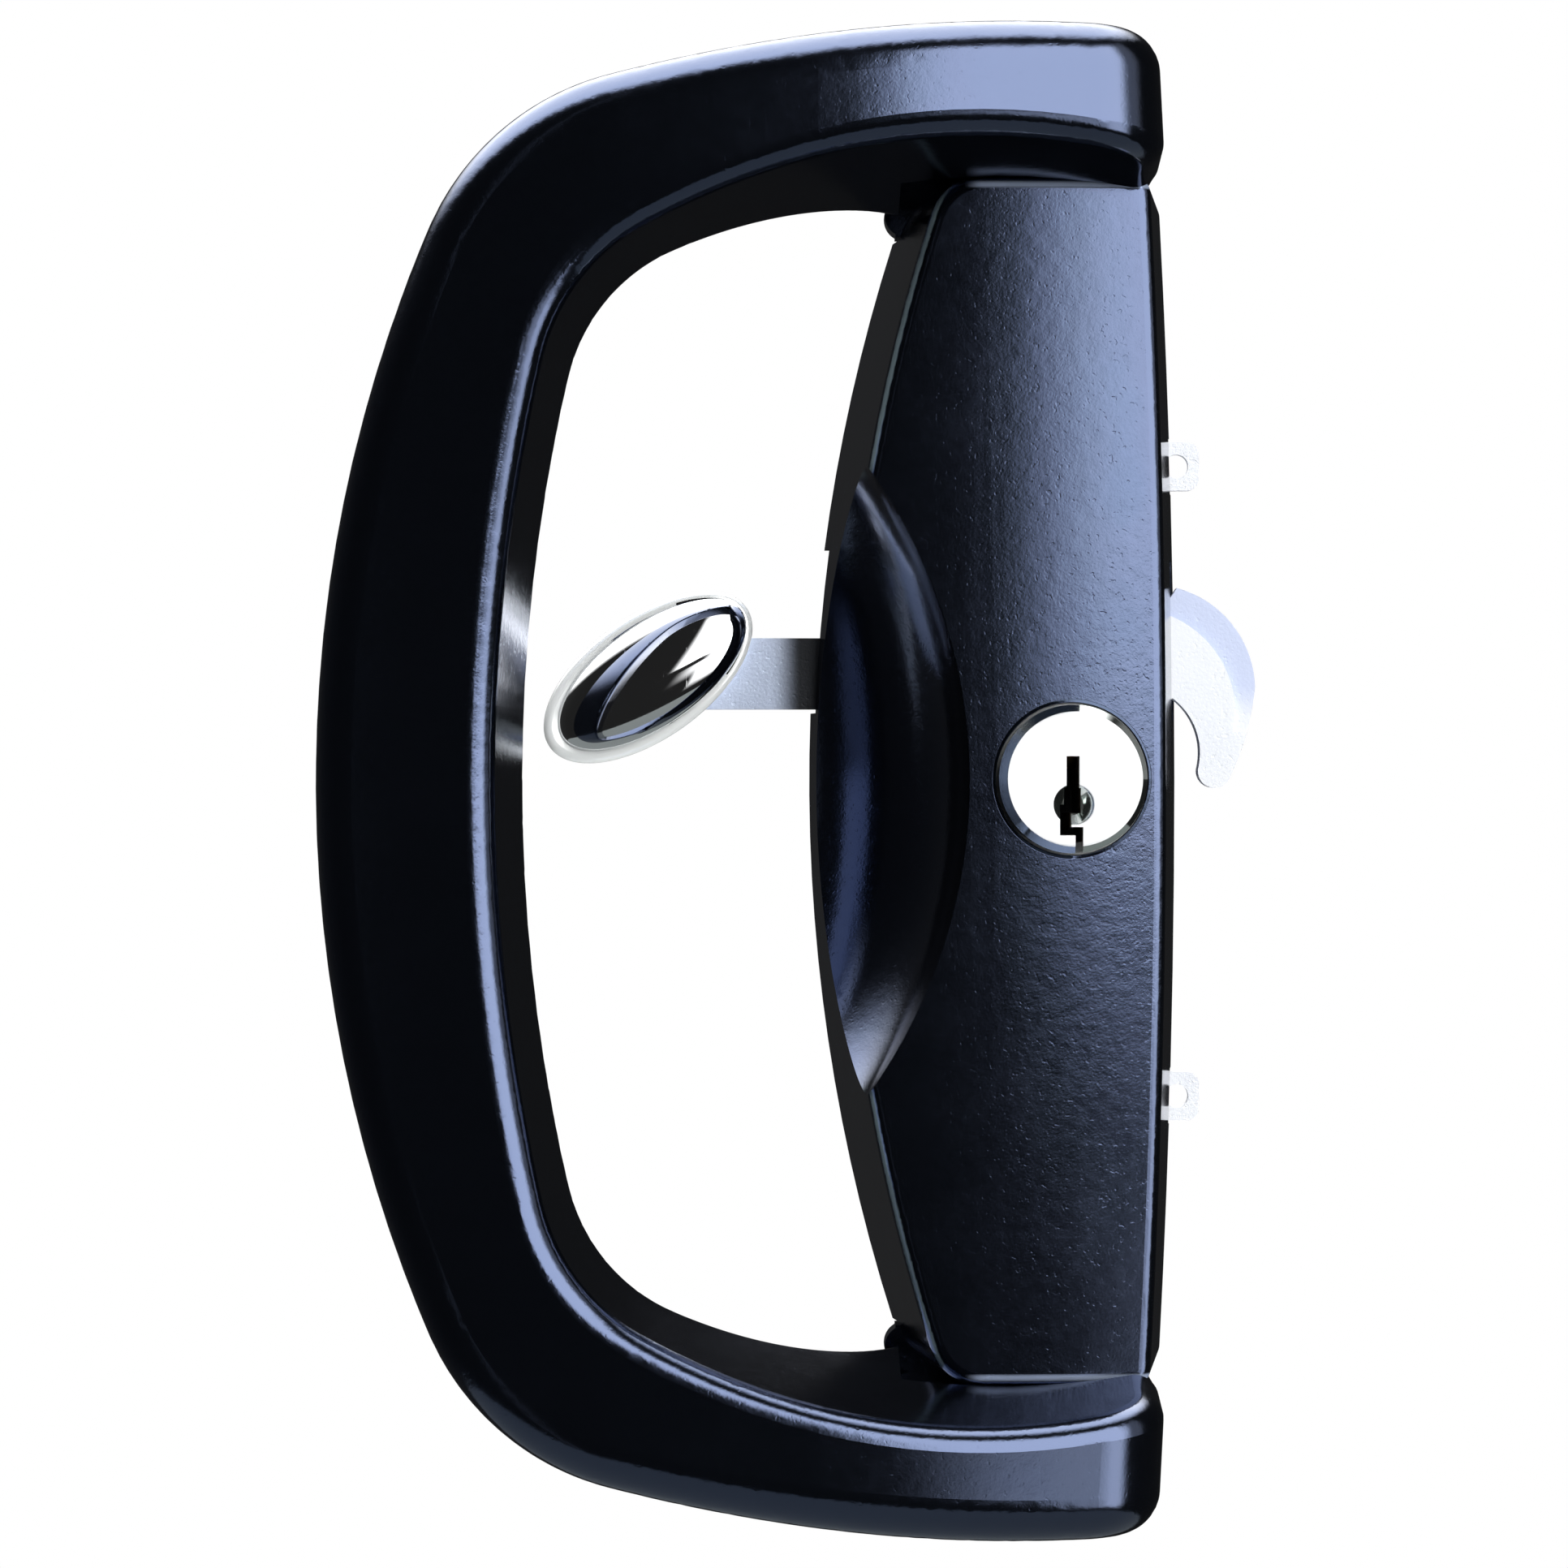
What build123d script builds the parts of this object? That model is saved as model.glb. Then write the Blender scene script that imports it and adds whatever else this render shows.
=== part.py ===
from build123d import *
from math import acos, atan2, cos, degrees, dist, pi, radians, sin, sqrt, tan
import os

# Sliding door lock: X runs to the jamb, Z is up, the front looks along -Y and the door face is Y = 0.

# Pull: a zinc casting with a grip bar, two arms and two feet. Heights are measured from the door face.
PULL_REACH = 47.0
PULL_FACE_CREST_X = -19.6
PULL_FACE_GRIP_RADIUS = 300.0
PULL_FACE_JAMB_RADIUS = 108.0
PULL_HALF_HEIGHT = 76.1
PULL_LEFT = -70.0
PULL_RIGHT = 15.5
PULL_SIDE_RADIUS = 139.5
PULL_ARM_X = 4.5
PULL_ARM_RADIUS = 185.0
PULL_CORNER_RADIUS = 26.7
PULL_END_BOW = 1300.0
PULL_SHOULDER_RADIUS = 9.0
PULL_OUTER_EDGE = 4.6
PULL_INNER_EDGE = 2.5
PULL_BACK_EDGE = 1.6

# Finger opening of the pull, given where its walls would meet the door face, with the lean of each wall.
OPENING_LEFT = -44.9
OPENING_HALF_HEIGHT = 58.6
OPENING_SIDE_RADIUS = 183.7
OPENING_ARM_X = -0.7
OPENING_ARM_RADIUS = 77.0
OPENING_CORNER_RADIUS = 19.8
OPENING_SIDE_LEAN = 0.161
OPENING_ARM_LEAN = 0.129
GRIP_CLEARANCE = 28.0
GRIP_CLEARANCE_X = -48.0
FOOT_LEFT = -9.0

# Foot: threaded boss for a door bolt in a cored pocket, and a tongue under the end of the cover.
BOLT_SPACING = 139.4
BOLT_X = 0.0
BOLT_HOLE_RADIUS = 2.1
BOLT_HOLE_DEPTH = 16.0
BOSS_RADIUS = 5.0
FOOT_WALL = 2.6
FOOT_CORE_DEPTH = 20.0
TONGUE_THICKNESS = 5.0
TONGUE_LEFT = -9.5
TONGUE_RIGHT = 12.0
TONGUE_INNER_Z = 48.5
LUG_X = -10.0
LUG_Z = 60.2
LUG_RADIUS = 2.3

# Cover: a hollow casting with bowed sides and a finger scallop.
COVER_HEIGHT = 26.4
COVER_WALL = 2.0
COVER_HALF_HEIGHT = 62.4
COVER_LEFT = -20.3
COVER_RIGHT = 18.9
COVER_LEFT_RADIUS = 190.0
COVER_RIGHT_RADIUS = 1145.0
COVER_LEFT_LEAN = 0.127
COVER_RIGHT_LEAN = 0.105
COVER_FACE_RADIUS = 160.0
COVER_FACE_CROWN_X = -4.0
COVER_CORNER_RADIUS = 6.0
COVER_JAMB_CORNER = 2.0
COVER_EDGE = 1.5
SCALLOP_AXIS_X = -24.2
SCALLOP_AXIS_HEIGHT = 25.5
SCALLOP_RADIUS = 20.3
SCALLOP_BOW_RADIUS = 55.0
SCALLOP_EDGE = 0.5
COVER_GAP = 0.4

# Back plate with two screw ears beyond the jamb side of the cover.
PLATE_THICKNESS = 1.6
PLATE_HALF_HEIGHT = 47.6
PLATE_CORNER = 3.0
EAR_SPACING = 67.4
EAR_WIDTH = 5.2
EAR_REACH = 21.4
EAR_HOLE_X = 19.0
EAR_HOLE_RADIUS = 1.27
EAR_CORNER = 1.3

# Screws: M4 through the tongues, M3 elsewhere.
TONGUE_SCREW_X = 1.0
TONGUE_SCREW_Z = 54.0
TONGUE_SCREW_RADIUS = 2.0
PLATE_SCREW_LEFT = -7.5
PLATE_SCREW_RIGHT = 11.0
PLATE_SCREW_Z = 42.0
SMALL_SCREW_RADIUS = 1.5
SCREW_SLACK = 0.25
THREAD_GAP = 0.05
SCREW_BITE = 9.0
POST_WALL = 2.2

# Drive: the snib lever's toothed sector turns the pinion of the hook.
SNIB_PIVOT_X = -10.5
SNIB_PIVOT_Z = 11.45
MODULE = 1.1
SECTOR_TEETH = 24
PINION_TEETH = 12
PRESSURE_ANGLE = 25.0
CENTRE_LINE_ANGLE = -30.0
BACKLASH = 0.16
LEVER_THICKNESS = 1.7
PIVOT_RADIUS = 2.0
PIVOT_FIT = 0.05
AXIAL_PLAY = 0.1
COLLAR_RADIUS = 3.6
COLLAR_HEIGHT = 0.2
CLIP_THICKNESS = 0.6
CLIP_RADIUS = 3.5
LEVER_WIDTH = 7.6
LEVER_END_X = -40.5
LEVER_HUB_RADIUS = 5.0
LEVER_SWING = 38.0

# Oval knob of the snib.
KNOB_X = -37.4
KNOB_Z = 11.0
KNOB_HALF_LENGTH = 12.8
KNOB_HALF_WIDTH = 6.5
KNOB_TILT = 35.5
KNOB_STEM = 3.6
KNOB_STEM_RADIUS = 3.4
KNOB_RIM = 1.3
KNOB_RIM_WIDTH = 0.9
KNOB_DOME = 3.6
KNOB_RIVET_RADIUS = 1.5

# Hook.
HOOK_ARM_GAP = 0.4
HOOK_THICKNESS = 3.3
HOOK_STEP = 0.6
HOOK_BAND = 2.5
HOOK_HUB_RADIUS = 5.0
HOOK_ARM_ANGLE = 62.0
HOOK_TOP = (18.7, 20.5)
HOOK_BROW = (24.6, 16.6)
HOOK_NOSE = (27.0, 10.0)
HOOK_CHEEK = (26.1, 5.2)
HOOK_TIP_RIGHT = (24.4, 0.7)
HOOK_TIP = (22.5, -0.7)
HOOK_TIP_LEFT = (20.9, 1.3)
HOOK_THROAT = (20.7, 5.4)
HOOK_ROOT = (18.2, 8.8)

# Deadlock: a peg on the lever and a cam on the key plug.
PEG_ORBIT = 10.0
PEG_ANGLE = -30.0
PEG_RADIUS = 1.3
CAM_GAP = 0.35
CAM_THICKNESS = 1.6
CAM_HUB_RADIUS = 4.6
CAM_REACH = 11.7
CAM_WIDTH = 3.0
CAM_REST_ANGLE = 252.0
CAM_SCREW_X = 3.7
CAM_SCREW_Z = 0.9
CAM_SCREW_RADIUS = 0.9
CAM_SCREW_LENGTH = 5.0

# Key cylinder.
PLUG_X = 6.6
PLUG_Z = 0.2
PLUG_RADIUS = 6.5
PLUG_FIT = 0.05
PLUG_HEAD_RADIUS = 7.6
PLUG_HEAD_CHAMFER = 0.85
PLUG_HEAD_RISE = 2.6
HEAD_GAP = 0.3
SHELL_WALL = 1.1
SHELL_BACK_GAP = 0.2
BIBLE_WIDTH = 7.0
BIBLE_TOP = 15.6
PIN_COUNT = 4
PIN_PITCH = 3.3
PIN_FIRST_DEPTH = 7.0
PIN_RADIUS = 1.25
PIN_FIT = 0.1
DRIVER_LENGTH = 3.6
PIN_LENGTHS = (4.6, 5.2, 4.2, 5.0)
PIN_POINT = 0.6
CAP_THICKNESS = 0.8
SHELL_LUG_RADIUS = 3.4
SHELL_LUG_HEIGHT = 12.4
SHELL_LUG_THICKNESS = 2.4
KEYWAY = (
    (-0.73, 2.35), (0.60, 2.35), (0.60, -0.90), (0.76, -0.90), (0.76, -3.50), (-0.23, -3.50),
    (-0.23, -4.90), (0.98, -4.90), (0.98, -9.00), (0.18, -9.00), (0.18, -5.75), (-1.40, -5.75),
    (-1.40, -2.60), (-0.95, -2.60), (-0.95, -0.90), (-0.73, -0.90),
)
KEY_ENTRY_RADIUS = 2.15
KEY_ENTRY_Z = -2.6
KEY_ENTRY_DEPTH = 1.1

# Wire springs.
PIN_SPRING_WIRE = 0.17
PIN_SPRING_RADIUS = 0.9
PIN_SPRING_TURNS = 4
TOGGLE_WIRE = 0.4
TOGGLE_COIL_RADIUS = 2.0
TOGGLE_COIL_X = -3.6
TOGGLE_COIL_Z = -6.4
TOGGLE_POST_REACH = 16.0
TOGGLE_POST_ANGLE = -84.0
TOGGLE_EYE_ORBIT = 7.4
TOGGLE_HOLE_RADIUS = 0.9
TOGGLE_EAR_RADIUS = 1.9
TOGGLE_POST_RADIUS = 1.2
TOGGLE_TURNS = 2
TOGGLE_LEVEL = 0.6
TOGGLE_PITCH = 0.88

# Levels over the door face that follow from the sizes above.
LEVER_LOW = PLATE_THICKNESS + COLLAR_HEIGHT + AXIAL_PLAY
LEVER_HIGH = LEVER_LOW + LEVER_THICKNESS
HOOK_ARM_LOW = LEVER_HIGH + HOOK_ARM_GAP
HOOK_HIGH = HOOK_ARM_LOW + HOOK_THICKNESS
CAM_LOW = HOOK_HIGH + CAM_GAP
PLUG_LOW = CAM_LOW + CAM_THICKNESS
SHELL_LOW = PLUG_LOW + SHELL_BACK_GAP
ROOF = COVER_HEIGHT - COVER_WALL - 0.4
PLUG_FACE = COVER_HEIGHT + PLUG_HEAD_RISE
HEAD_LOW = COVER_HEIGHT - 1.2
KNOB_LOW = LEVER_HIGH + KNOB_STEM
PITCH_DISTANCE = MODULE * (SECTOR_TEETH + PINION_TEETH) / 2
BORE_RADIUS = PLUG_RADIUS + PLUG_FIT
POST_ROOM = SMALL_SCREW_RADIUS + POST_WALL + 0.4
SHELL_LUGS = (
    (PLUG_X, PLUG_Z - BORE_RADIUS - SHELL_WALL - POST_ROOM - 0.25),
    (PLUG_X - BIBLE_WIDTH / 2 - POST_ROOM, BIBLE_TOP - SHELL_LUG_RADIUS + 1.3),
)
TOGGLE_EYE_ANGLE = TOGGLE_POST_ANGLE + LEVER_SWING / 2
HOOK_PIVOT_X = SNIB_PIVOT_X + PITCH_DISTANCE * cos(radians(CENTRE_LINE_ANGLE))
HOOK_PIVOT_Z = SNIB_PIVOT_Z + PITCH_DISTANCE * sin(radians(CENTRE_LINE_ANGLE))


def at(x, z, height=0.0):
    """Place on the door, seen from the front: X, Z and the height over the door face."""
    return Plane.XZ.location * Pos(x, z, height)


def block(outline, low, high):
    """Solid of an outline drawn in X and Z, between two heights."""
    return extrude(at(0, 0, low) * outline, amount=high - low)


def disc(x, z, radius, low, high):
    """Round solid standing off the door between two heights."""
    return block(Pos(x, z) * Circle(radius), low, high)


def cone(x, z, low_radius, high_radius, low, high):
    """Tapered round solid between two heights."""
    return at(x, z, (low + high) / 2) * Cone(low_radius, high_radius, high - low)


def box(x_low, x_high, z_low, z_high, low, high):
    """Straight block between two corners and two heights."""
    centre = Pos((x_low + x_high) / 2, (z_low + z_high) / 2)
    return block(centre * Rectangle(x_high - x_low, z_high - z_low), low, high)


def polar(x, z, radius, angle):
    """Point at a distance and an angle from another."""
    return (x + radius * cos(radians(angle)), z + radius * sin(radians(angle)))


def above_and_below(solid):
    """The same solid on both sides of the middle of the lock."""
    return solid + mirror(solid, about=Plane.XY)


def helix_wire(radius, pitch, turns, wire):
    """Coil of round wire about its own upright axis, starting on its first axis."""
    path = Helix(pitch, pitch * turns, radius)
    section = Plane(origin=path @ 0, z_dir=path % 0) * Circle(wire)
    return sweep(section, path)


def countersunk_screw(x, z, radius, length, low):
    """Screw driven from the back, its cone head flush with the level it starts at."""
    return cone(x, z, 2 * radius, radius, low, low + radius) + disc(x, z, radius, low + radius / 2, low + length)


def sink(x, z, radius, low):
    """Countersunk hole for a screw driven from the back."""
    return cone(x, z, 2 * radius + 0.1, radius + 0.1, low, low + radius) + disc(
        x, z, radius + SCREW_SLACK, low - 1, low + 12
    )


def teeth_outline(teeth, centre_angle, first, last):
    """Involute gear outline about the middle, with teeth first to last counted from an angle."""
    pitch_radius = MODULE * teeth / 2
    base_radius = pitch_radius * cos(radians(PRESSURE_ANGLE))
    root_radius = pitch_radius - 1.25 * MODULE
    tip_radius = pitch_radius + MODULE
    involute = tan(radians(PRESSURE_ANGLE)) - radians(PRESSURE_ANGLE)
    half_pitch = pi / (2 * teeth) - BACKLASH / (4 * pitch_radius)
    flank = []
    for step in range(5):
        radius = max(base_radius, root_radius) + (tip_radius - max(base_radius, root_radius)) * step / 4
        lean = acos(min(1.0, base_radius / radius))
        flank.append((radius, half_pitch + involute - tan(lean) + lean))
    outline = Circle(root_radius)
    foot = (root_radius - 0.3, flank[0][1])
    for count in range(first, last + 1):
        middle = radians(centre_angle + 360 / teeth * count)
        right = [(r * cos(middle - a), r * sin(middle - a)) for r, a in [foot] + flank]
        left = [(r * cos(middle + a), r * sin(middle + a)) for r, a in reversed([foot] + flank)]
        outline += make_face(Polyline(*right, *left, close=True))
    return outline


def pull_outline():
    """Outer outline of the pull: bowed grip side, arms and end."""
    end = PULL_RIGHT + COVER_HALF_HEIGHT ** 2 / (2 * PULL_END_BOW)
    outline = Pos(PULL_LEFT + PULL_SIDE_RADIUS, 0) * Circle(PULL_SIDE_RADIUS)
    outline &= Pos(PULL_ARM_X, PULL_HALF_HEIGHT - PULL_ARM_RADIUS) * Circle(PULL_ARM_RADIUS)
    outline &= Pos(PULL_ARM_X, PULL_ARM_RADIUS - PULL_HALF_HEIGHT) * Circle(PULL_ARM_RADIUS)
    outline &= Pos(end - PULL_END_BOW, 0) * Circle(PULL_END_BOW)
    return fillet(outline.vertices().filter_by(lambda v: v.X < 0), PULL_CORNER_RADIUS)


def opening_outline(height):
    """Outline of the finger opening at a height over the door, running out past the feet."""
    left = OPENING_LEFT - OPENING_SIDE_LEAN * height
    top = OPENING_HALF_HEIGHT + OPENING_ARM_LEAN * height
    outline = Pos(left + OPENING_SIDE_RADIUS, 0) * Circle(OPENING_SIDE_RADIUS)
    outline &= Pos(OPENING_ARM_X, top - OPENING_ARM_RADIUS) * Circle(OPENING_ARM_RADIUS)
    outline &= Pos(OPENING_ARM_X, OPENING_ARM_RADIUS - top) * Circle(OPENING_ARM_RADIUS)
    outline &= Pos(PULL_RIGHT + 8.0 - 2 * top, 0) * Rectangle(4 * top, 4 * top)
    return fillet(outline.vertices().filter_by(lambda v: v.X < 0), OPENING_CORNER_RADIUS)


def crown(left_radius, right_radius, crest_x, top, span):
    """Slab with a shallow curved front: one radius on each side of its crest, which stands at a height."""
    halves = []
    for side, radius in ((-1, left_radius), (1, right_radius)):
        half = Pos(crest_x, radius - top) * Circle(radius)
        halves.append(half & Pos(crest_x + side * radius / 2, -top / 2 - 1) * Rectangle(radius, top + 2))
    return extrude(Plane.XY.offset(-span / 2) * (halves[0] + halves[1]), amount=span)


def grip_clearance():
    """Room for the fingers behind the grip, through the whole height of the pull."""
    side = GRIP_CLEARANCE_X - PULL_LEFT + 10
    curve = Pos(GRIP_CLEARANCE_X, 0) * Ellipse(FOOT_LEFT - GRIP_CLEARANCE_X, GRIP_CLEARANCE)
    curve += Pos(GRIP_CLEARANCE_X - side / 2, 0) * Rectangle(side, 2 * GRIP_CLEARANCE)
    return extrude(Plane.XY.offset(-1.5 * PULL_HALF_HEIGHT) * curve, amount=3 * PULL_HALF_HEIGHT)


def tongue_outline(slack):
    """Outline of the tongue and its round lug, with slack all round for the room it needs."""
    outer = COVER_HALF_HEIGHT + 2.0
    pad = Pos((TONGUE_LEFT + TONGUE_RIGHT) / 2, (TONGUE_INNER_Z + outer) / 2)
    outline = pad * Rectangle(
        TONGUE_RIGHT - TONGUE_LEFT + 2 * slack, outer - TONGUE_INNER_Z + 2 * slack
    )
    left = LUG_X - LUG_RADIUS / 2 - slack
    low = LUG_Z - LUG_RADIUS - slack
    root = Pos((left + TONGUE_RIGHT) / 2, (low + outer) / 2)
    outline += root * Rectangle(TONGUE_RIGHT - left, outer - low)
    return outline + Pos(LUG_X, LUG_Z) * Circle(LUG_RADIUS + slack)


def foot_core():
    """Cored pocket of the upper foot, with the boss for the door bolt left standing."""
    low_z = COVER_HALF_HEIGHT + COVER_GAP + FOOT_WALL
    high_z = PULL_HALF_HEIGHT - FOOT_WALL
    span = PULL_RIGHT - FOOT_LEFT - 2 * FOOT_WALL
    outline = Pos((PULL_RIGHT + FOOT_LEFT) / 2, (low_z + high_z) / 2) * Rectangle(span, high_z - low_z)
    arm = Pos(PULL_ARM_X, PULL_HALF_HEIGHT - PULL_ARM_RADIUS)
    outline &= arm * Circle(PULL_ARM_RADIUS - FOOT_WALL)
    outline = fillet(outline.vertices(), 1.5)
    outline -= Pos(BOLT_X, BOLT_SPACING / 2) * Circle(BOSS_RADIUS)
    return block(outline, -1, FOOT_CORE_DEPTH)


def make_pull():
    """The D pull: grip, arms, cored feet and tongues."""
    body = block(pull_outline(), 0, PULL_REACH + 2)
    body &= crown(
        PULL_FACE_GRIP_RADIUS, PULL_FACE_JAMB_RADIUS, PULL_FACE_CREST_X, PULL_REACH, 3 * PULL_HALF_HEIGHT
    )
    middle = body.edges().filter_by(lambda e: abs((e @ 0.5).Z) < 1 and (e @ 0.5).X > PULL_RIGHT)
    body = fillet(middle.sort_by(Axis.Y)[0], PULL_SHOULDER_RADIUS)
    rim = body.edges().filter_by(lambda e: (e @ 0.5).Y < -0.5)
    rim = rim.filter_by(lambda e: abs((e @ 0.5).Z) > 1 or (e @ 0.5).X < 0)
    rim = rim.filter_by(lambda e: e.geom_type != GeomType.LINE or (e @ 0.5).X > 0)
    body = fillet(rim, PULL_OUTER_EDGE)
    opening = loft([at(0, 0, h) * opening_outline(h) for h in (-1, PULL_REACH + 3)], ruled=True)
    walls = opening.faces().filter_by(lambda f: abs(f.normal_at().Y) < 0.9)
    body -= grip_clearance()
    body -= opening
    brim = body.edges().filter_by(lambda e: e.geom_type != GeomType.LINE)
    brim = brim.filter_by(lambda e: (e @ 0.5).Y < -GRIP_CLEARANCE - 0.1)
    brim = brim.filter_by(lambda e: min(w.distance_to(Vertex(e @ 0.5)) for w in walls) < 0.001)
    body = fillet(brim, PULL_INNER_EDGE)
    back = body.edges().filter_by(lambda e: e.geom_type != GeomType.LINE)
    back = back.filter_by(lambda e: (e @ 0.5).X < FOOT_LEFT and (e @ 0.5).Y > -GRIP_CLEARANCE - 0.1)
    body = fillet(back, PULL_BACK_EDGE)
    side = COVER_HALF_HEIGHT + COVER_GAP
    body -= box(TONGUE_LEFT - 1.5, PULL_RIGHT + 9, -side, side, -1, COVER_HEIGHT + COVER_GAP)
    foot = block(tongue_outline(0), 0, TONGUE_THICKNESS) - foot_core()
    foot -= sink(TONGUE_SCREW_X, TONGUE_SCREW_Z, TONGUE_SCREW_RADIUS, 0)
    body -= above_and_below(foot_core())
    body += above_and_below(foot)
    bolt = disc(BOLT_X, BOLT_SPACING / 2, BOLT_HOLE_RADIUS, -1, BOLT_HOLE_DEPTH)
    return body - above_and_below(bolt)


def cover_outline(height, inset):
    """Outline of the cover at a height over the door, moved in by an inset."""
    left = COVER_LEFT + COVER_LEFT_LEAN * height
    right = COVER_RIGHT - COVER_RIGHT_LEAN * height
    outline = Pos(left + COVER_LEFT_RADIUS, 0) * Circle(COVER_LEFT_RADIUS - inset)
    outline &= Pos(right - COVER_RIGHT_RADIUS, 0) * Circle(COVER_RIGHT_RADIUS - inset)
    outline &= Rectangle(4 * COVER_RIGHT, 2 * (COVER_HALF_HEIGHT - inset))
    outline = fillet(outline.vertices().filter_by(lambda v: v.X < 0), COVER_CORNER_RADIUS - inset / 2)
    jamb = outline.vertices().filter_by(lambda v: v.X > COVER_RIGHT / 2)
    return fillet(jamb.filter_by(lambda v: abs(v.Y) > COVER_HALF_HEIGHT - inset - 0.01), COVER_JAMB_CORNER)


def scallop(wall):
    """Barrel whose surface is the finger scallop, or the wall behind it."""
    bow = SCALLOP_BOW_RADIUS + wall
    half = Pos(SCALLOP_AXIS_X + SCALLOP_RADIUS - SCALLOP_BOW_RADIUS, 0) * Circle(bow)
    half &= Pos(SCALLOP_AXIS_X + bow, 0) * Rectangle(2 * bow, 2 * bow)
    face = at(0, 0, SCALLOP_AXIS_HEIGHT) * half
    return revolve(face, Axis((SCALLOP_AXIS_X, -SCALLOP_AXIS_HEIGHT, 0), (0, 0, 1)), 360)


def screw_post(x, z, radius, low):
    """Post under the cover's roof for a screw that starts at a level."""
    return disc(x, z, radius + POST_WALL, low, ROOF + 0.2) - disc(
        x, z, radius + THREAD_GAP, low, low + SCREW_BITE + 1
    )


def hook_reach():
    """Largest distance of the hook from its pivot."""
    pivot = (HOOK_PIVOT_X, HOOK_PIVOT_Z)
    return max(dist(pivot, point) for point in (HOOK_TOP, HOOK_BROW, HOOK_NOSE)) + 0.4


def make_cover():
    """The cover: crowned shell with scallop, posts, key hole and the slots of the moving parts."""
    body = loft([at(0, 0, h) * cover_outline(h, 0) for h in (0, COVER_HEIGHT + 2)], ruled=True)
    body &= crown(COVER_FACE_RADIUS, COVER_FACE_RADIUS, COVER_FACE_CROWN_X, COVER_HEIGHT, 3 * COVER_HALF_HEIGHT)
    front = body.faces().sort_by(Axis.Y)[0]
    body = fillet(front.edges(), COVER_EDGE)
    body -= scallop(0)
    room = loft([at(0, 0, h) * cover_outline(h, COVER_WALL) for h in (-1, ROOF)], ruled=True)
    body -= room - scallop(COVER_WALL)
    for side in (1, -1):
        body += screw_post(TONGUE_SCREW_X, side * TONGUE_SCREW_Z, TONGUE_SCREW_RADIUS, TONGUE_THICKNESS)
        for x in (PLATE_SCREW_LEFT, PLATE_SCREW_RIGHT):
            body += screw_post(x, side * PLATE_SCREW_Z, SMALL_SCREW_RADIUS, PLATE_THICKNESS)
        ear = side * EAR_SPACING / 2
        ear_room = EAR_WIDTH / 2 + COVER_GAP
        body -= box(
            COVER_RIGHT - 6, COVER_RIGHT + 3, ear - ear_room, ear + ear_room, -1,
            PLATE_THICKNESS + COVER_GAP,
        )
    for x, z in SHELL_LUGS:
        body += screw_post(x, z, SMALL_SCREW_RADIUS, SHELL_LUG_HEIGHT + SHELL_LUG_THICKNESS)
    body -= above_and_below(block(tongue_outline(0.3), -1, TONGUE_THICKNESS))
    edge = SNIB_PIVOT_X - COVER_LEFT
    swing = radians(LEVER_SWING)
    half = LEVER_WIDTH / 2
    body -= box(
        COVER_LEFT - 3, SNIB_PIVOT_X - LEVER_HUB_RADIUS, SNIB_PIVOT_Z - half - COVER_GAP,
        SNIB_PIVOT_Z + edge * tan(swing) + half / cos(swing) + 2 * COVER_GAP, -1,
        LEVER_HIGH + COVER_GAP,
    )
    wall_gap = COVER_RIGHT - COVER_WALL - HOOK_PIVOT_X
    slot_low = HOOK_PIVOT_Z + (HOOK_ROOT[1] - HOOK_PIVOT_Z) / (HOOK_ROOT[0] - HOOK_PIVOT_X) * wall_gap
    body -= box(
        COVER_RIGHT - COVER_WALL - 1, COVER_RIGHT + 3, slot_low - 1.5,
        HOOK_PIVOT_Z + sqrt(hook_reach() ** 2 - wall_gap ** 2) + COVER_GAP,
        HOOK_ARM_LOW - COVER_GAP, HOOK_HIGH + COVER_GAP,
    )
    return body - disc(PLUG_X, PLUG_Z, PLUG_HEAD_RADIUS + HEAD_GAP, ROOF - 1, COVER_HEIGHT + 3)


def make_plate():
    """Back plate with pivot holes, screw holes and the two ears."""
    outline = cover_outline(0, COVER_WALL + COVER_GAP) & Rectangle(4 * COVER_RIGHT, 2 * PLATE_HALF_HEIGHT)
    corners = outline.vertices().filter_by(lambda v: abs(v.Y) > PLATE_HALF_HEIGHT - 0.01)
    outline = fillet(corners, PLATE_CORNER)
    for side in (1, -1):
        ear = Pos((PLUG_X + EAR_REACH) / 2, side * EAR_SPACING / 2)
        outline += ear * RectangleRounded(EAR_REACH - PLUG_X, EAR_WIDTH, EAR_CORNER)
        outline -= Pos(EAR_HOLE_X, side * EAR_SPACING / 2) * Circle(EAR_HOLE_RADIUS)
    rivet = PIVOT_RADIUS - 0.5 + THREAD_GAP
    outline -= Pos(SNIB_PIVOT_X, SNIB_PIVOT_Z) * Circle(rivet)
    outline -= Pos(HOOK_PIVOT_X, HOOK_PIVOT_Z) * Circle(rivet)
    outline -= Pos(*toggle_post_place()) * Circle(TOGGLE_POST_RADIUS - 0.4 + THREAD_GAP)
    plate = block(outline, 0, PLATE_THICKNESS)
    for side in (1, -1):
        for x in (PLATE_SCREW_LEFT, PLATE_SCREW_RIGHT):
            plate -= sink(x, side * PLATE_SCREW_Z, SMALL_SCREW_RADIUS, 0)
    return plate


def make_pivot(x, z, journal_top):
    """Shouldered rivet: shank in the plate, collar, journal and a groove for the clip."""
    pin = disc(x, z, PIVOT_RADIUS - 0.5, 0, PLATE_THICKNESS + 0.1)
    pin += disc(x, z, COLLAR_RADIUS, PLATE_THICKNESS, PLATE_THICKNESS + COLLAR_HEIGHT)
    pin += disc(x, z, PIVOT_RADIUS, PLATE_THICKNESS, journal_top + AXIAL_PLAY)
    neck = journal_top + AXIAL_PLAY + CLIP_THICKNESS + 0.05
    pin += disc(x, z, PIVOT_RADIUS - 0.5, journal_top, neck)
    return pin + cone(x, z, PIVOT_RADIUS, PIVOT_RADIUS - 0.3, neck, neck + 0.6)


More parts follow.
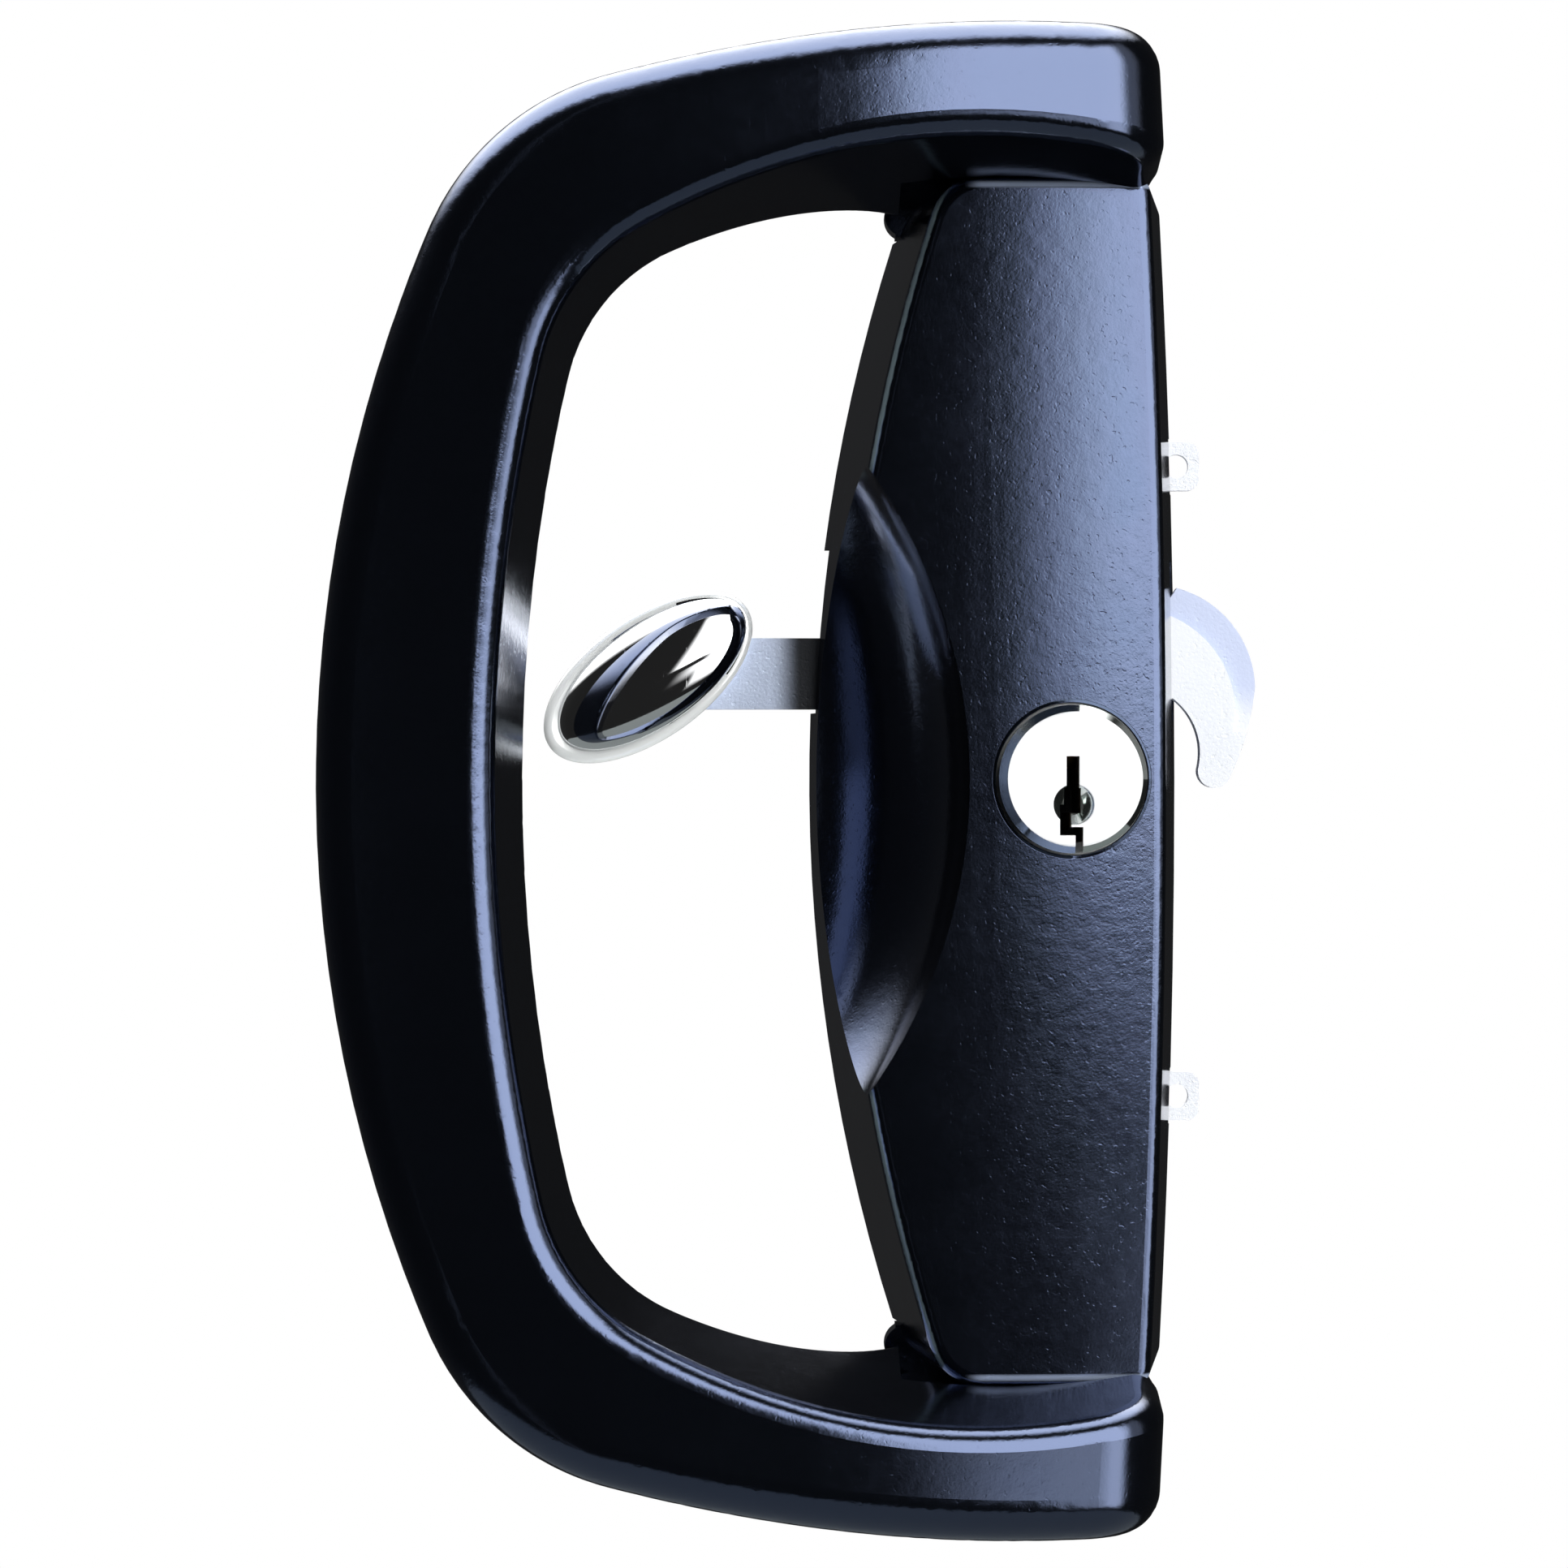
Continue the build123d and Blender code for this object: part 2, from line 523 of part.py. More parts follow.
def make_clip(x, z, journal_top, angle):
    """Spring clip in the groove of a pivot, open on one side."""
    ring = Circle(CLIP_RADIUS) - Circle(PIVOT_RADIUS - 0.5 + THREAD_GAP)
    for turn in (60, -60):
        ring -= Rot(0, 0, turn) * Pos(-PIVOT_RADIUS - 0.1, 0) * Circle(0.6)
    ring -= Pos(CLIP_RADIUS / 2, 0) * Rectangle(CLIP_RADIUS + 0.4, 2.2)
    low = journal_top + AXIAL_PLAY
    return block(Pos(x, z) * Rot(0, 0, angle) * ring, low, low + CLIP_THICKNESS)


def toggle_post_place():
    """Post of the toggle spring, below the snib pivot."""
    return polar(SNIB_PIVOT_X, SNIB_PIVOT_Z, TOGGLE_POST_REACH, TOGGLE_POST_ANGLE)


def toggle_eye_place():
    """Hole of the toggle spring in the lever."""
    return polar(SNIB_PIVOT_X, SNIB_PIVOT_Z, TOGGLE_EYE_ORBIT, TOGGLE_EYE_ANGLE)


def make_lever():
    """Stamped snib lever: strip, hub, toothed sector, spring eye and the holes."""
    hub = Pos(SNIB_PIVOT_X, SNIB_PIVOT_Z)
    teeth = teeth_outline(SECTOR_TEETH, CENTRE_LINE_ANGLE, -1, 3)
    tip = MODULE * (SECTOR_TEETH / 2 + 1) + 1
    step = 360 / SECTOR_TEETH
    start = CENTRE_LINE_ANGLE - 1.5 * step
    end = CENTRE_LINE_ANGLE + 3.5 * step
    wedge = make_face(Polyline((0, 0), *[polar(0, 0, tip * 1.2, start + (end - start) * n / 4) for n in range(5)], close=True))
    outline = hub * (teeth & wedge) + hub * Circle(LEVER_HUB_RADIUS)
    strip = SNIB_PIVOT_X - LEVER_END_X - LEVER_WIDTH / 2
    outline += Pos(SNIB_PIVOT_X - strip / 2, SNIB_PIVOT_Z) * Rectangle(strip, LEVER_WIDTH)
    outline += Pos(LEVER_END_X + LEVER_WIDTH / 2, SNIB_PIVOT_Z) * Circle(LEVER_WIDTH / 2)
    eye = Pos(*toggle_eye_place())
    outline += eye * Circle(TOGGLE_EAR_RADIUS)
    arm = Rot(0, 0, TOGGLE_EYE_ANGLE) * Pos(TOGGLE_EYE_ORBIT / 2, 0)
    outline += hub * arm * Rectangle(TOGGLE_EYE_ORBIT, 2 * TOGGLE_EAR_RADIUS)
    outline -= eye * Circle(TOGGLE_HOLE_RADIUS)
    outline -= hub * Circle(PIVOT_RADIUS + PIVOT_FIT)
    outline -= Pos(*peg_place()) * Circle(PEG_RADIUS - 0.4 + THREAD_GAP)
    outline -= Pos(KNOB_X, KNOB_Z) * Circle(KNOB_RIVET_RADIUS + THREAD_GAP)
    return block(outline, LEVER_LOW, LEVER_HIGH)


def make_knob():
    """Oval knob: domed on a flat rim, with a stem that stands on the lever."""
    place = at(KNOB_X, KNOB_Z, KNOB_LOW) * Rot(0, 0, KNOB_TILT)
    rim = extrude(Ellipse(KNOB_HALF_LENGTH, KNOB_HALF_WIDTH), amount=KNOB_RIM)
    rim = fillet(rim.edges(), KNOB_RIM * 0.35)
    half_length = KNOB_HALF_LENGTH - KNOB_RIM_WIDTH
    half_width = KNOB_HALF_WIDTH - KNOB_RIM_WIDTH
    dome = scale(Sphere(1), by=(half_length, half_width, KNOB_DOME))
    dome &= Pos(0, 0, KNOB_DOME) * Box(4 * half_length, 4 * half_width, 2 * KNOB_DOME)
    knob = place * (rim + Pos(0, 0, KNOB_RIM * 0.8) * dome)
    knob += disc(KNOB_X, KNOB_Z, KNOB_STEM_RADIUS, LEVER_HIGH, KNOB_LOW + 0.1)
    return knob - disc(KNOB_X, KNOB_Z, KNOB_RIVET_RADIUS + THREAD_GAP, LEVER_HIGH - 1, KNOB_LOW + KNOB_RIM)


def make_knob_rivet():
    """Rivet through the lever into the stem of the knob."""
    head = cone(KNOB_X, KNOB_Z, 2.2, 2.7, LEVER_LOW - 0.9, LEVER_LOW)
    return head + disc(KNOB_X, KNOB_Z, KNOB_RIVET_RADIUS, LEVER_LOW - 0.5, KNOB_LOW + KNOB_RIM)


def peg_place():
    """Deadlock peg on the toothed sector."""
    return polar(SNIB_PIVOT_X, SNIB_PIVOT_Z, PEG_ORBIT, PEG_ANGLE)


def make_peg():
    """Peg that the deadlock cam stops: riveted in the lever, standing to the cam's top."""
    shank = disc(*peg_place(), PEG_RADIUS - 0.4, LEVER_LOW, LEVER_HIGH)
    return shank + disc(*peg_place(), PEG_RADIUS, LEVER_HIGH, PLUG_LOW - 0.1)


def tangent_point(centre, radius, point, side):
    """Angle on a circle where a line from a point touches it."""
    away = degrees(atan2(point[1] - centre[1], point[0] - centre[0]))
    return away + side * degrees(acos(radius / dist(centre, point)))


def on_line(start, end, shares, height):
    """Places on a straight run in plan, at shares of its length, all at one height."""
    return [(start[0] + (end[0] - start[0]) * t, start[1] + (end[1] - start[1]) * t, height) for t in shares]


def make_toggle_spring():
    """One wire: bent into the lever's eye, coiled, and hooked round the post."""
    centre = (TOGGLE_COIL_X, TOGGLE_COIL_Z)
    eye = toggle_eye_place()
    post = toggle_post_place()
    start = tangent_point(centre, TOGGLE_COIL_RADIUS, eye, 1)
    end = tangent_point(centre, TOGGLE_COIL_RADIUS, post, -1)
    turn = TOGGLE_TURNS * 360 + (end - start) % 360
    low = LEVER_HIGH + TOGGLE_LEVEL
    high = low + TOGGLE_PITCH * turn / 360
    first = polar(*centre, TOGGLE_COIL_RADIUS, start)
    last = polar(*centre, TOGGLE_COIL_RADIUS, end)
    ring = TOGGLE_POST_RADIUS + TOGGLE_WIRE + 0.1
    side = degrees(atan2(last[1] - post[1], last[0] - post[0])) + 90
    wire = [(*eye, LEVER_LOW + 0.3), (*eye, LEVER_HIGH - 0.2)]
    wire += on_line(eye, first, (0.08, 0.3, 0.55, 0.8), low)
    steps = round(turn / 30)
    for step in range(steps + 1):
        place = polar(*centre, TOGGLE_COIL_RADIUS, start + turn * step / steps)
        wire.append((*place, low + (high - low) * step / steps))
    wire += on_line(last, polar(*post, ring, side), (0.35, 0.65), high)
    wire += [(*polar(*post, ring, side + 30 * step), high) for step in range(10)]
    path = Spline(*[Vector(x, -height, z) for x, z, height in wire])
    return sweep(Plane(origin=path @ 0, z_dir=path % 0) * Circle(TOGGLE_WIRE), path)


def make_toggle_post():
    """Grooved post that holds the fixed end of the toggle spring."""
    x, z = toggle_post_place()
    top = LEVER_HIGH + TOGGLE_LEVEL + TOGGLE_PITCH * (TOGGLE_TURNS + 1) + 0.3
    post = disc(x, z, TOGGLE_POST_RADIUS - 0.4, 0, PLATE_THICKNESS + 0.1)
    return post + disc(x, z, TOGGLE_POST_RADIUS, PLATE_THICKNESS, top)


def hook_outline():
    """Outline of the hook's arm and beak."""
    back = polar(HOOK_PIVOT_X, HOOK_PIVOT_Z, HOOK_HUB_RADIUS, HOOK_ARM_ANGLE)
    heel = polar(HOOK_PIVOT_X, HOOK_PIVOT_Z, HOOK_HUB_RADIUS, 10)
    edges = [
        Line(back, HOOK_TOP),
        ThreePointArc(HOOK_TOP, HOOK_BROW, HOOK_NOSE),
        ThreePointArc(HOOK_NOSE, HOOK_CHEEK, HOOK_TIP_RIGHT),
        ThreePointArc(HOOK_TIP_RIGHT, HOOK_TIP, HOOK_TIP_LEFT),
        ThreePointArc(HOOK_TIP_LEFT, HOOK_THROAT, HOOK_ROOT),
        Line(HOOK_ROOT, heel),
        Line(heel, (HOOK_PIVOT_X, HOOK_PIVOT_Z)),
        Line((HOOK_PIVOT_X, HOOK_PIVOT_Z), back),
    ]
    return make_face(Wire(edges))


def make_hook():
    """The hook: pinion, hub and a beak with a lowered band along its outer edge."""
    hub = Pos(HOOK_PIVOT_X, HOOK_PIVOT_Z)
    middle = CENTRE_LINE_ANGLE + 180 + 180 / PINION_TEETH
    hook = block(hub * teeth_outline(PINION_TEETH, middle, 0, PINION_TEETH - 1), LEVER_LOW, LEVER_HIGH)
    hook += disc(HOOK_PIVOT_X, HOOK_PIVOT_Z, HOOK_HUB_RADIUS, LEVER_LOW, HOOK_HIGH)
    beak = hook_outline()
    band = beak - Pos(-HOOK_BAND * 0.85, -HOOK_BAND) * beak
    band &= Pos(HOOK_NOSE[0], HOOK_CHEEK[1] + 30) * Rectangle(2 * (HOOK_NOSE[0] - HOOK_TOP[0] + 2), 60)
    hook += block(beak, HOOK_ARM_LOW, HOOK_HIGH)
    hook -= block(band, HOOK_HIGH - HOOK_STEP, HOOK_HIGH + 1)
    seat = HOOK_HIGH - CLIP_THICKNESS - 1.0
    hook -= disc(HOOK_PIVOT_X, HOOK_PIVOT_Z, CLIP_RADIUS + 0.4, seat, HOOK_HIGH + 1)
    return hook - disc(HOOK_PIVOT_X, HOOK_PIVOT_Z, PIVOT_RADIUS + PIVOT_FIT, 0, HOOK_HIGH + 1)


def pin_heights():
    """Heights of the pin chambers over the door, from the front of the cylinder."""
    return [PLUG_FACE - PIN_FIRST_DEPTH - PIN_PITCH * n for n in range(PIN_COUNT)]


def upright(height, low, high, radius):
    """Round solid standing along Z over the plug's axis, between two distances from it."""
    middle = PLUG_Z + (low + high) / 2
    return Pos(PLUG_X, -height, middle) * Cylinder(radius, high - low)


def make_plug():
    """The key plug: head, barrel, keyway with its wards, pin holes and cam screw holes."""
    plug = disc(PLUG_X, PLUG_Z, PLUG_RADIUS, PLUG_LOW, HEAD_LOW + 0.5)
    flat = PLUG_FACE - PLUG_HEAD_CHAMFER
    plug += disc(PLUG_X, PLUG_Z, PLUG_HEAD_RADIUS, HEAD_LOW, flat)
    plug += cone(PLUG_X, PLUG_Z, PLUG_HEAD_RADIUS, PLUG_HEAD_RADIUS - PLUG_HEAD_CHAMFER, flat, PLUG_FACE)
    plug -= block(Pos(PLUG_X, PLUG_Z) * make_face(Polyline(*KEYWAY, close=True)), PLUG_LOW - 1, PLUG_FACE + 1)
    plug -= cone(
        PLUG_X, PLUG_Z + KEY_ENTRY_Z, KEY_ENTRY_RADIUS - KEY_ENTRY_DEPTH, KEY_ENTRY_RADIUS,
        PLUG_FACE - KEY_ENTRY_DEPTH, PLUG_FACE,
    )
    for height, length in zip(pin_heights(), PIN_LENGTHS):
        plug -= upright(height, PLUG_RADIUS - 0.2 - length, PLUG_RADIUS + 1, PIN_RADIUS + PIN_FIT)
    for side in (1, -1):
        plug -= disc(
            PLUG_X + side * CAM_SCREW_X, PLUG_Z + CAM_SCREW_Z, CAM_SCREW_RADIUS + THREAD_GAP,
            PLUG_LOW - 1, CAM_LOW + CAM_SCREW_LENGTH + 1,
        )
    return plug


def make_shell():
    """The cylinder's shell: bore, raised pin housing, spigot in the cover and two screw lugs."""
    radius = BORE_RADIUS + SHELL_WALL
    shell = disc(PLUG_X, PLUG_Z, radius, SHELL_LOW, ROOF)
    shell += disc(PLUG_X, PLUG_Z, PLUG_HEAD_RADIUS + 0.2, ROOF - 1, HEAD_LOW - SHELL_BACK_GAP)
    half = BIBLE_WIDTH / 2
    shell += box(PLUG_X - half, PLUG_X + half, PLUG_Z, BIBLE_TOP, SHELL_LOW, ROOF)
    lug_top = SHELL_LUG_HEIGHT + SHELL_LUG_THICKNESS
    for x, z in SHELL_LUGS:
        bridge = Pos(x, min(z, BIBLE_TOP - SHELL_LUG_RADIUS))
        lug = Pos(x, z) * Circle(SHELL_LUG_RADIUS) + bridge * Circle(SHELL_LUG_RADIUS)
        lug += bridge * Pos((PLUG_X - x) / 2, 0) * Rectangle(PLUG_X - x + 0.01, 2 * SHELL_LUG_RADIUS)
        lug += Pos(PLUG_X, (z + PLUG_Z) / 2) * Rectangle(2 * SHELL_LUG_RADIUS, abs(z - PLUG_Z))
        shell += block(lug, SHELL_LUG_HEIGHT, lug_top)
    for x, z in SHELL_LUGS:
        shell -= disc(x, z, SMALL_SCREW_RADIUS + SCREW_SLACK, SHELL_LUG_HEIGHT - 1, lug_top + 1)
    shell -= disc(PLUG_X, PLUG_Z, BORE_RADIUS, SHELL_LOW - 1, COVER_HEIGHT)
    for height in pin_heights():
        shell -= upright(height, PLUG_RADIUS - 1, BIBLE_TOP - PLUG_Z + 1, PIN_RADIUS + PIN_FIT)
    return shell


def make_cam():
    """Deadlock cam: hub and one finger, screwed to the back of the plug."""
    outline = Circle(CAM_HUB_RADIUS)
    finger = Pos((CAM_REACH - CAM_WIDTH / 2) / 2, 0) * Rectangle(CAM_REACH - CAM_WIDTH / 2, CAM_WIDTH)
    finger += Pos(CAM_REACH - CAM_WIDTH / 2, 0) * Circle(CAM_WIDTH / 2)
    outline += Rot(0, 0, CAM_REST_ANGLE) * finger
    cam = block(Pos(PLUG_X, PLUG_Z) * outline, CAM_LOW, PLUG_LOW)
    for side in (1, -1):
        cam -= sink(PLUG_X + side * CAM_SCREW_X, PLUG_Z + CAM_SCREW_Z, CAM_SCREW_RADIUS, CAM_LOW)
    return cam


def make_key_pin(number):
    """Key pin, held by the key's cut at the shear line, with a pointed lower end."""
    top = PLUG_RADIUS - 0.2
    low = top - PIN_LENGTHS[number]
    pin = upright(pin_heights()[number], low + PIN_POINT, top, PIN_RADIUS)
    middle = PLUG_Z + low + PIN_POINT / 2
    point = Pos(PLUG_X, -pin_heights()[number], middle) * Cone(PIN_RADIUS - PIN_POINT, PIN_RADIUS, PIN_POINT)
    return pin + point


def make_driver_pin(number):
    """Driver pin in the shell, just outside the plug."""
    low = BORE_RADIUS + 0.03
    return upright(pin_heights()[number], low, low + DRIVER_LENGTH, PIN_RADIUS)


def make_pin_spring(number):
    """Coil spring between a driver pin and the cap."""
    low = PLUG_Z + BORE_RADIUS + 0.03 + DRIVER_LENGTH + PIN_SPRING_WIRE + 0.03
    length = BIBLE_TOP - PIN_SPRING_WIRE - 0.03 - low
    coil = helix_wire(PIN_SPRING_RADIUS, length / PIN_SPRING_TURNS, PIN_SPRING_TURNS, PIN_SPRING_WIRE)
    return Pos(PLUG_X, -pin_heights()[number], low) * coil


def make_cap():
    """Strip that closes the pin chambers."""
    low = pin_heights()[-1] - PIN_RADIUS - 1.2
    high = pin_heights()[0] + PIN_RADIUS + 0.4
    half = BIBLE_WIDTH / 2 - 0.3
    return box(PLUG_X - half, PLUG_X + half, BIBLE_TOP, BIBLE_TOP + CAP_THICKNESS, low, high)


def make_cam_screws():
    """Two countersunk screws of the cam."""
    screws = Part()
    for side in (1, -1):
        screws += countersunk_screw(
            PLUG_X + side * CAM_SCREW_X, PLUG_Z + CAM_SCREW_Z, CAM_SCREW_RADIUS, CAM_SCREW_LENGTH, CAM_LOW
        )
    return screws


def make_cylinder_screws():
    """Two pan-head screws from the shell's lugs into the cover."""
    screws = Part()
    top = SHELL_LUG_HEIGHT + SHELL_LUG_THICKNESS + SCREW_BITE * 0.7
    for x, z in SHELL_LUGS:
        screws += disc(x, z, SMALL_SCREW_RADIUS * 1.8, SHELL_LUG_HEIGHT - 1.8, SHELL_LUG_HEIGHT)
        screws += disc(x, z, SMALL_SCREW_RADIUS, SHELL_LUG_HEIGHT - 1, top)
    return screws


def make_handle_screws():
    """Two countersunk screws from the tongues into the ends of the cover."""
    screw = countersunk_screw(
        TONGUE_SCREW_X, TONGUE_SCREW_Z, TONGUE_SCREW_RADIUS, TONGUE_THICKNESS + SCREW_BITE, 0
    )
    return above_and_below(screw)


def make_plate_screws():
    """Four countersunk screws from the back plate into the cover."""
    screws = Part()
    for x in (PLATE_SCREW_LEFT, PLATE_SCREW_RIGHT):
        screws += countersunk_screw(
            x, PLATE_SCREW_Z, SMALL_SCREW_RADIUS, PLATE_THICKNESS + SCREW_BITE, 0
        )
    return above_and_below(screws)


def make_parts():
    """All pieces by name."""
    snib = (SNIB_PIVOT_X, SNIB_PIVOT_Z)
    hook = (HOOK_PIVOT_X, HOOK_PIVOT_Z)
    hook_seat = HOOK_HIGH - CLIP_THICKNESS - 1.0
    parts = {
        "d_handle": make_pull(),
        "body_cover": make_cover(),
        "back_plate": make_plate(),
        "snib_lever": make_lever(),
        "snib_knob": make_knob(),
        "snib_knob_rivet": make_knob_rivet(),
        "snib_pivot_pin": make_pivot(*snib, LEVER_HIGH),
        "snib_pivot_clip": make_clip(*snib, LEVER_HIGH, 90),
        "deadlock_peg": make_peg(),
        "toggle_spring": make_toggle_spring(),
        "toggle_post": make_toggle_post(),
        "hook": make_hook(),
        "hook_pivot_pin": make_pivot(*hook, hook_seat),
        "hook_pivot_clip": make_clip(*hook, hook_seat, -90),
        "cylinder_shell": make_shell(),
        "cylinder_plug": make_plug(),
        "deadlock_cam": make_cam(),
        "chamber_cap": make_cap(),
        "cam_screws": make_cam_screws(),
        "cylinder_screws": make_cylinder_screws(),
        "handle_screws": make_handle_screws(),
        "plate_screws": make_plate_screws(),
    }
    for number in range(PIN_COUNT):
        parts[f"key_pin_{number + 1}"] = make_key_pin(number)
        parts[f"driver_pin_{number + 1}"] = make_driver_pin(number)
        parts[f"pin_spring_{number + 1}"] = make_pin_spring(number)
    return parts


if __name__ == "__main__":
    os.makedirs("parts", exist_ok=True)
    for name, part in make_parts().items():
        export_step(part, f"parts/{name}.step")
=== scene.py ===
"""Looks of a sliding door lock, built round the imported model."""

import logging
import math
from abc import ABC, abstractmethod
from dataclasses import dataclass, field
from enum import Enum

import bpy
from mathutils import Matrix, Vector


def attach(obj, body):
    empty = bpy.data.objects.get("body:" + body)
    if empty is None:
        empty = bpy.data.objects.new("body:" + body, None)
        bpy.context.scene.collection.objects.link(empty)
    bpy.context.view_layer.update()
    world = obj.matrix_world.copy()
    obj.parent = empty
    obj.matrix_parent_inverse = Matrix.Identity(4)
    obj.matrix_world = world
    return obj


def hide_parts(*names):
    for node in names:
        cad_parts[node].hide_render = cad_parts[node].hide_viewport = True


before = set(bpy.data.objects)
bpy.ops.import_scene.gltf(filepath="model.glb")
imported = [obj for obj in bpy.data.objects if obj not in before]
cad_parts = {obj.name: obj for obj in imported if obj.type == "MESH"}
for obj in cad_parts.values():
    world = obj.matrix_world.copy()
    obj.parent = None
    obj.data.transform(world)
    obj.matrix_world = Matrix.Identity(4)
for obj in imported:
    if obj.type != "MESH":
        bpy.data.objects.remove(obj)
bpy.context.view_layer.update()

LOG = logging.getLogger("sliding_door_lock")
MM = 0.001

Socket = bpy.types.NodeSocket
Sockets = dict[str, Socket]
Value = Socket | float
Colour = tuple[float, float, float]
Triple = tuple[float, float, float]
Span = tuple[float, float]
Profile = tuple[tuple[float, float], ...]

RISE: Span = (0.0, 1.0)
FALL: Span = (1.0, 0.0)
WHITE: Colour = (1.0, 1.0, 1.0)


@dataclass(frozen=True)
class Cloud:
    """One layer of noise: the size of a blotch, and the number and strength of finer layers."""

    size_mm: float
    detail: float = 2.0
    rough: float = 0.5


class Net:
    """Short way to add and join the nodes of one material, group or world."""

    def __init__(self, tree: bpy.types.NodeTree) -> None:
        """Keep the tree that nodes are added to.

        Args:
            tree: Node tree of a material, node group or world.
        """
        self.tree = tree

    def add(self, kind: str, **values: object) -> bpy.types.Node:
        """Add a node and set its properties.

        Args:
            kind: Node type without its "ShaderNode" prefix.
            **values: Properties of the node.

        Returns:
            The new node.
        """
        node = self.tree.nodes.new("ShaderNode" + kind)
        for key, value in values.items():
            setattr(node, key, value)
        return node

    def put(self, socket: Socket, value: object) -> None:
        """Join an output to an input, or set the input's value.

        Args:
            socket: The input.
            value: An output socket, a number or a tuple.
        """
        if isinstance(value, Socket):
            self.tree.links.new(value, socket)
        else:
            socket.default_value = value

    def maths(self, operation: str, a: Value, b: Value = 0.5, clamp: bool = False) -> Socket:
        """Work out one value from two.

        Args:
            operation: Name of the operation.
            a: First value.
            b: Second value, which an operation on one value leaves out.
            clamp: Whether the result is kept between 0 and 1.

        Returns:
            The result's socket.
        """
        node = self.add("Math", operation=operation, use_clamp=clamp)
        self.put(node.inputs[0], a)
        self.put(node.inputs[1], b)
        return node.outputs[0]

    def times(self, first: Value, *others: Value) -> Socket:
        """Multiply values, from left to right.

        Args:
            first: First value.
            *others: The other values, one or more.

        Returns:
            The product.
        """
        for other in others:
            first = self.maths("MULTIPLY", first, other)
        return first

    def plus(self, first: Value, *others: Value) -> Socket:
        """Add values up, from left to right.

        Args:
            first: First value.
            *others: The other values, one or more.

        Returns:
            The sum.
        """
        for other in others:
            first = self.maths("ADD", first, other)
        return first

    def axes(self, vector: Socket) -> tuple[Socket, Socket, Socket]:
        """Take a vector apart.

        Args:
            vector: The vector.

        Returns:
            Its parts along the three axes.
        """
        node = self.add("SeparateXYZ")
        self.put(node.inputs[0], vector)
        return tuple(node.outputs)

    def noise(self, vector: Socket, cloud: Cloud) -> Socket:
        """Noise whose blotches have a size in millimetres.

        Args:
            vector: Place on the surface, in metres.
            cloud: Size and detail of the noise.

        Returns:
            Value between 0 and 1.
        """
        node = self.add("TexNoise")
        self.put(node.inputs["Vector"], vector)
        self.put(node.inputs["Scale"], 1.0 / (cloud.size_mm * MM))
        self.put(node.inputs["Detail"], cloud.detail)
        self.put(node.inputs["Roughness"], cloud.rough)
        return node.outputs["Fac"]

    def span(self, value: Value, limits: Span, ends: Span = RISE) -> Socket:
        """Map a range smoothly to another one.

        Args:
            value: Value to map.
            limits: Lower and upper end of the range.
            ends: Result at the lower and at the upper end.

        Returns:
            The mapped value.
        """
        node = self.add("MapRange", interpolation_type="SMOOTHSTEP")
        for socket, number in zip(node.inputs[:5], (value, *limits, *ends)):
            self.put(socket, number)
        return node.outputs[0]

    def span_mm(self, value: Value, limits_mm: Span, ends: Span = RISE) -> Socket:
        """Map a range of lengths smoothly to another range.

        Args:
            value: Length in metres.
            limits_mm: Lower and upper end of the range, in millimetres.
            ends: Result at the lower and at the upper end.

        Returns:
            The mapped value.
        """
        return self.span(value, (limits_mm[0] * MM, limits_mm[1] * MM), ends)

    def blend(self, share: Value, a: Socket | Colour, b: Socket | Colour) -> Socket:
        """Mix two colours.

        Args:
            share: Share of the second colour.
            a: First colour.
            b: Second colour.

        Returns:
            The mixed colour.
        """
        node = self.add("Mix", data_type="RGBA")
        self.put(node.inputs["Factor"], share)
        self.put(node.inputs[6], a if isinstance(a, Socket) else (*a, 1.0))
        self.put(node.inputs[7], b if isinstance(b, Socket) else (*b, 1.0))
        return node.outputs[2]

    def bump(self, height: Socket, distance_mm: float, under: Socket | None = None) -> Socket:
        """Normal of a surface with small relief.

        Args:
            height: Height between 0 and 1.
            distance_mm: Real height of the relief.
            under: Normal that the relief lies on, if it isn't the mesh's own.

        Returns:
            The normal.
        """
        node = self.add("Bump")
        self.put(node.inputs["Height"], height)
        self.put(node.inputs["Distance"], distance_mm * MM)
        self.put(node.inputs["Strength"], 1.0)
        if under is not None:
            self.put(node.inputs["Normal"], under)
        return node.outputs["Normal"]


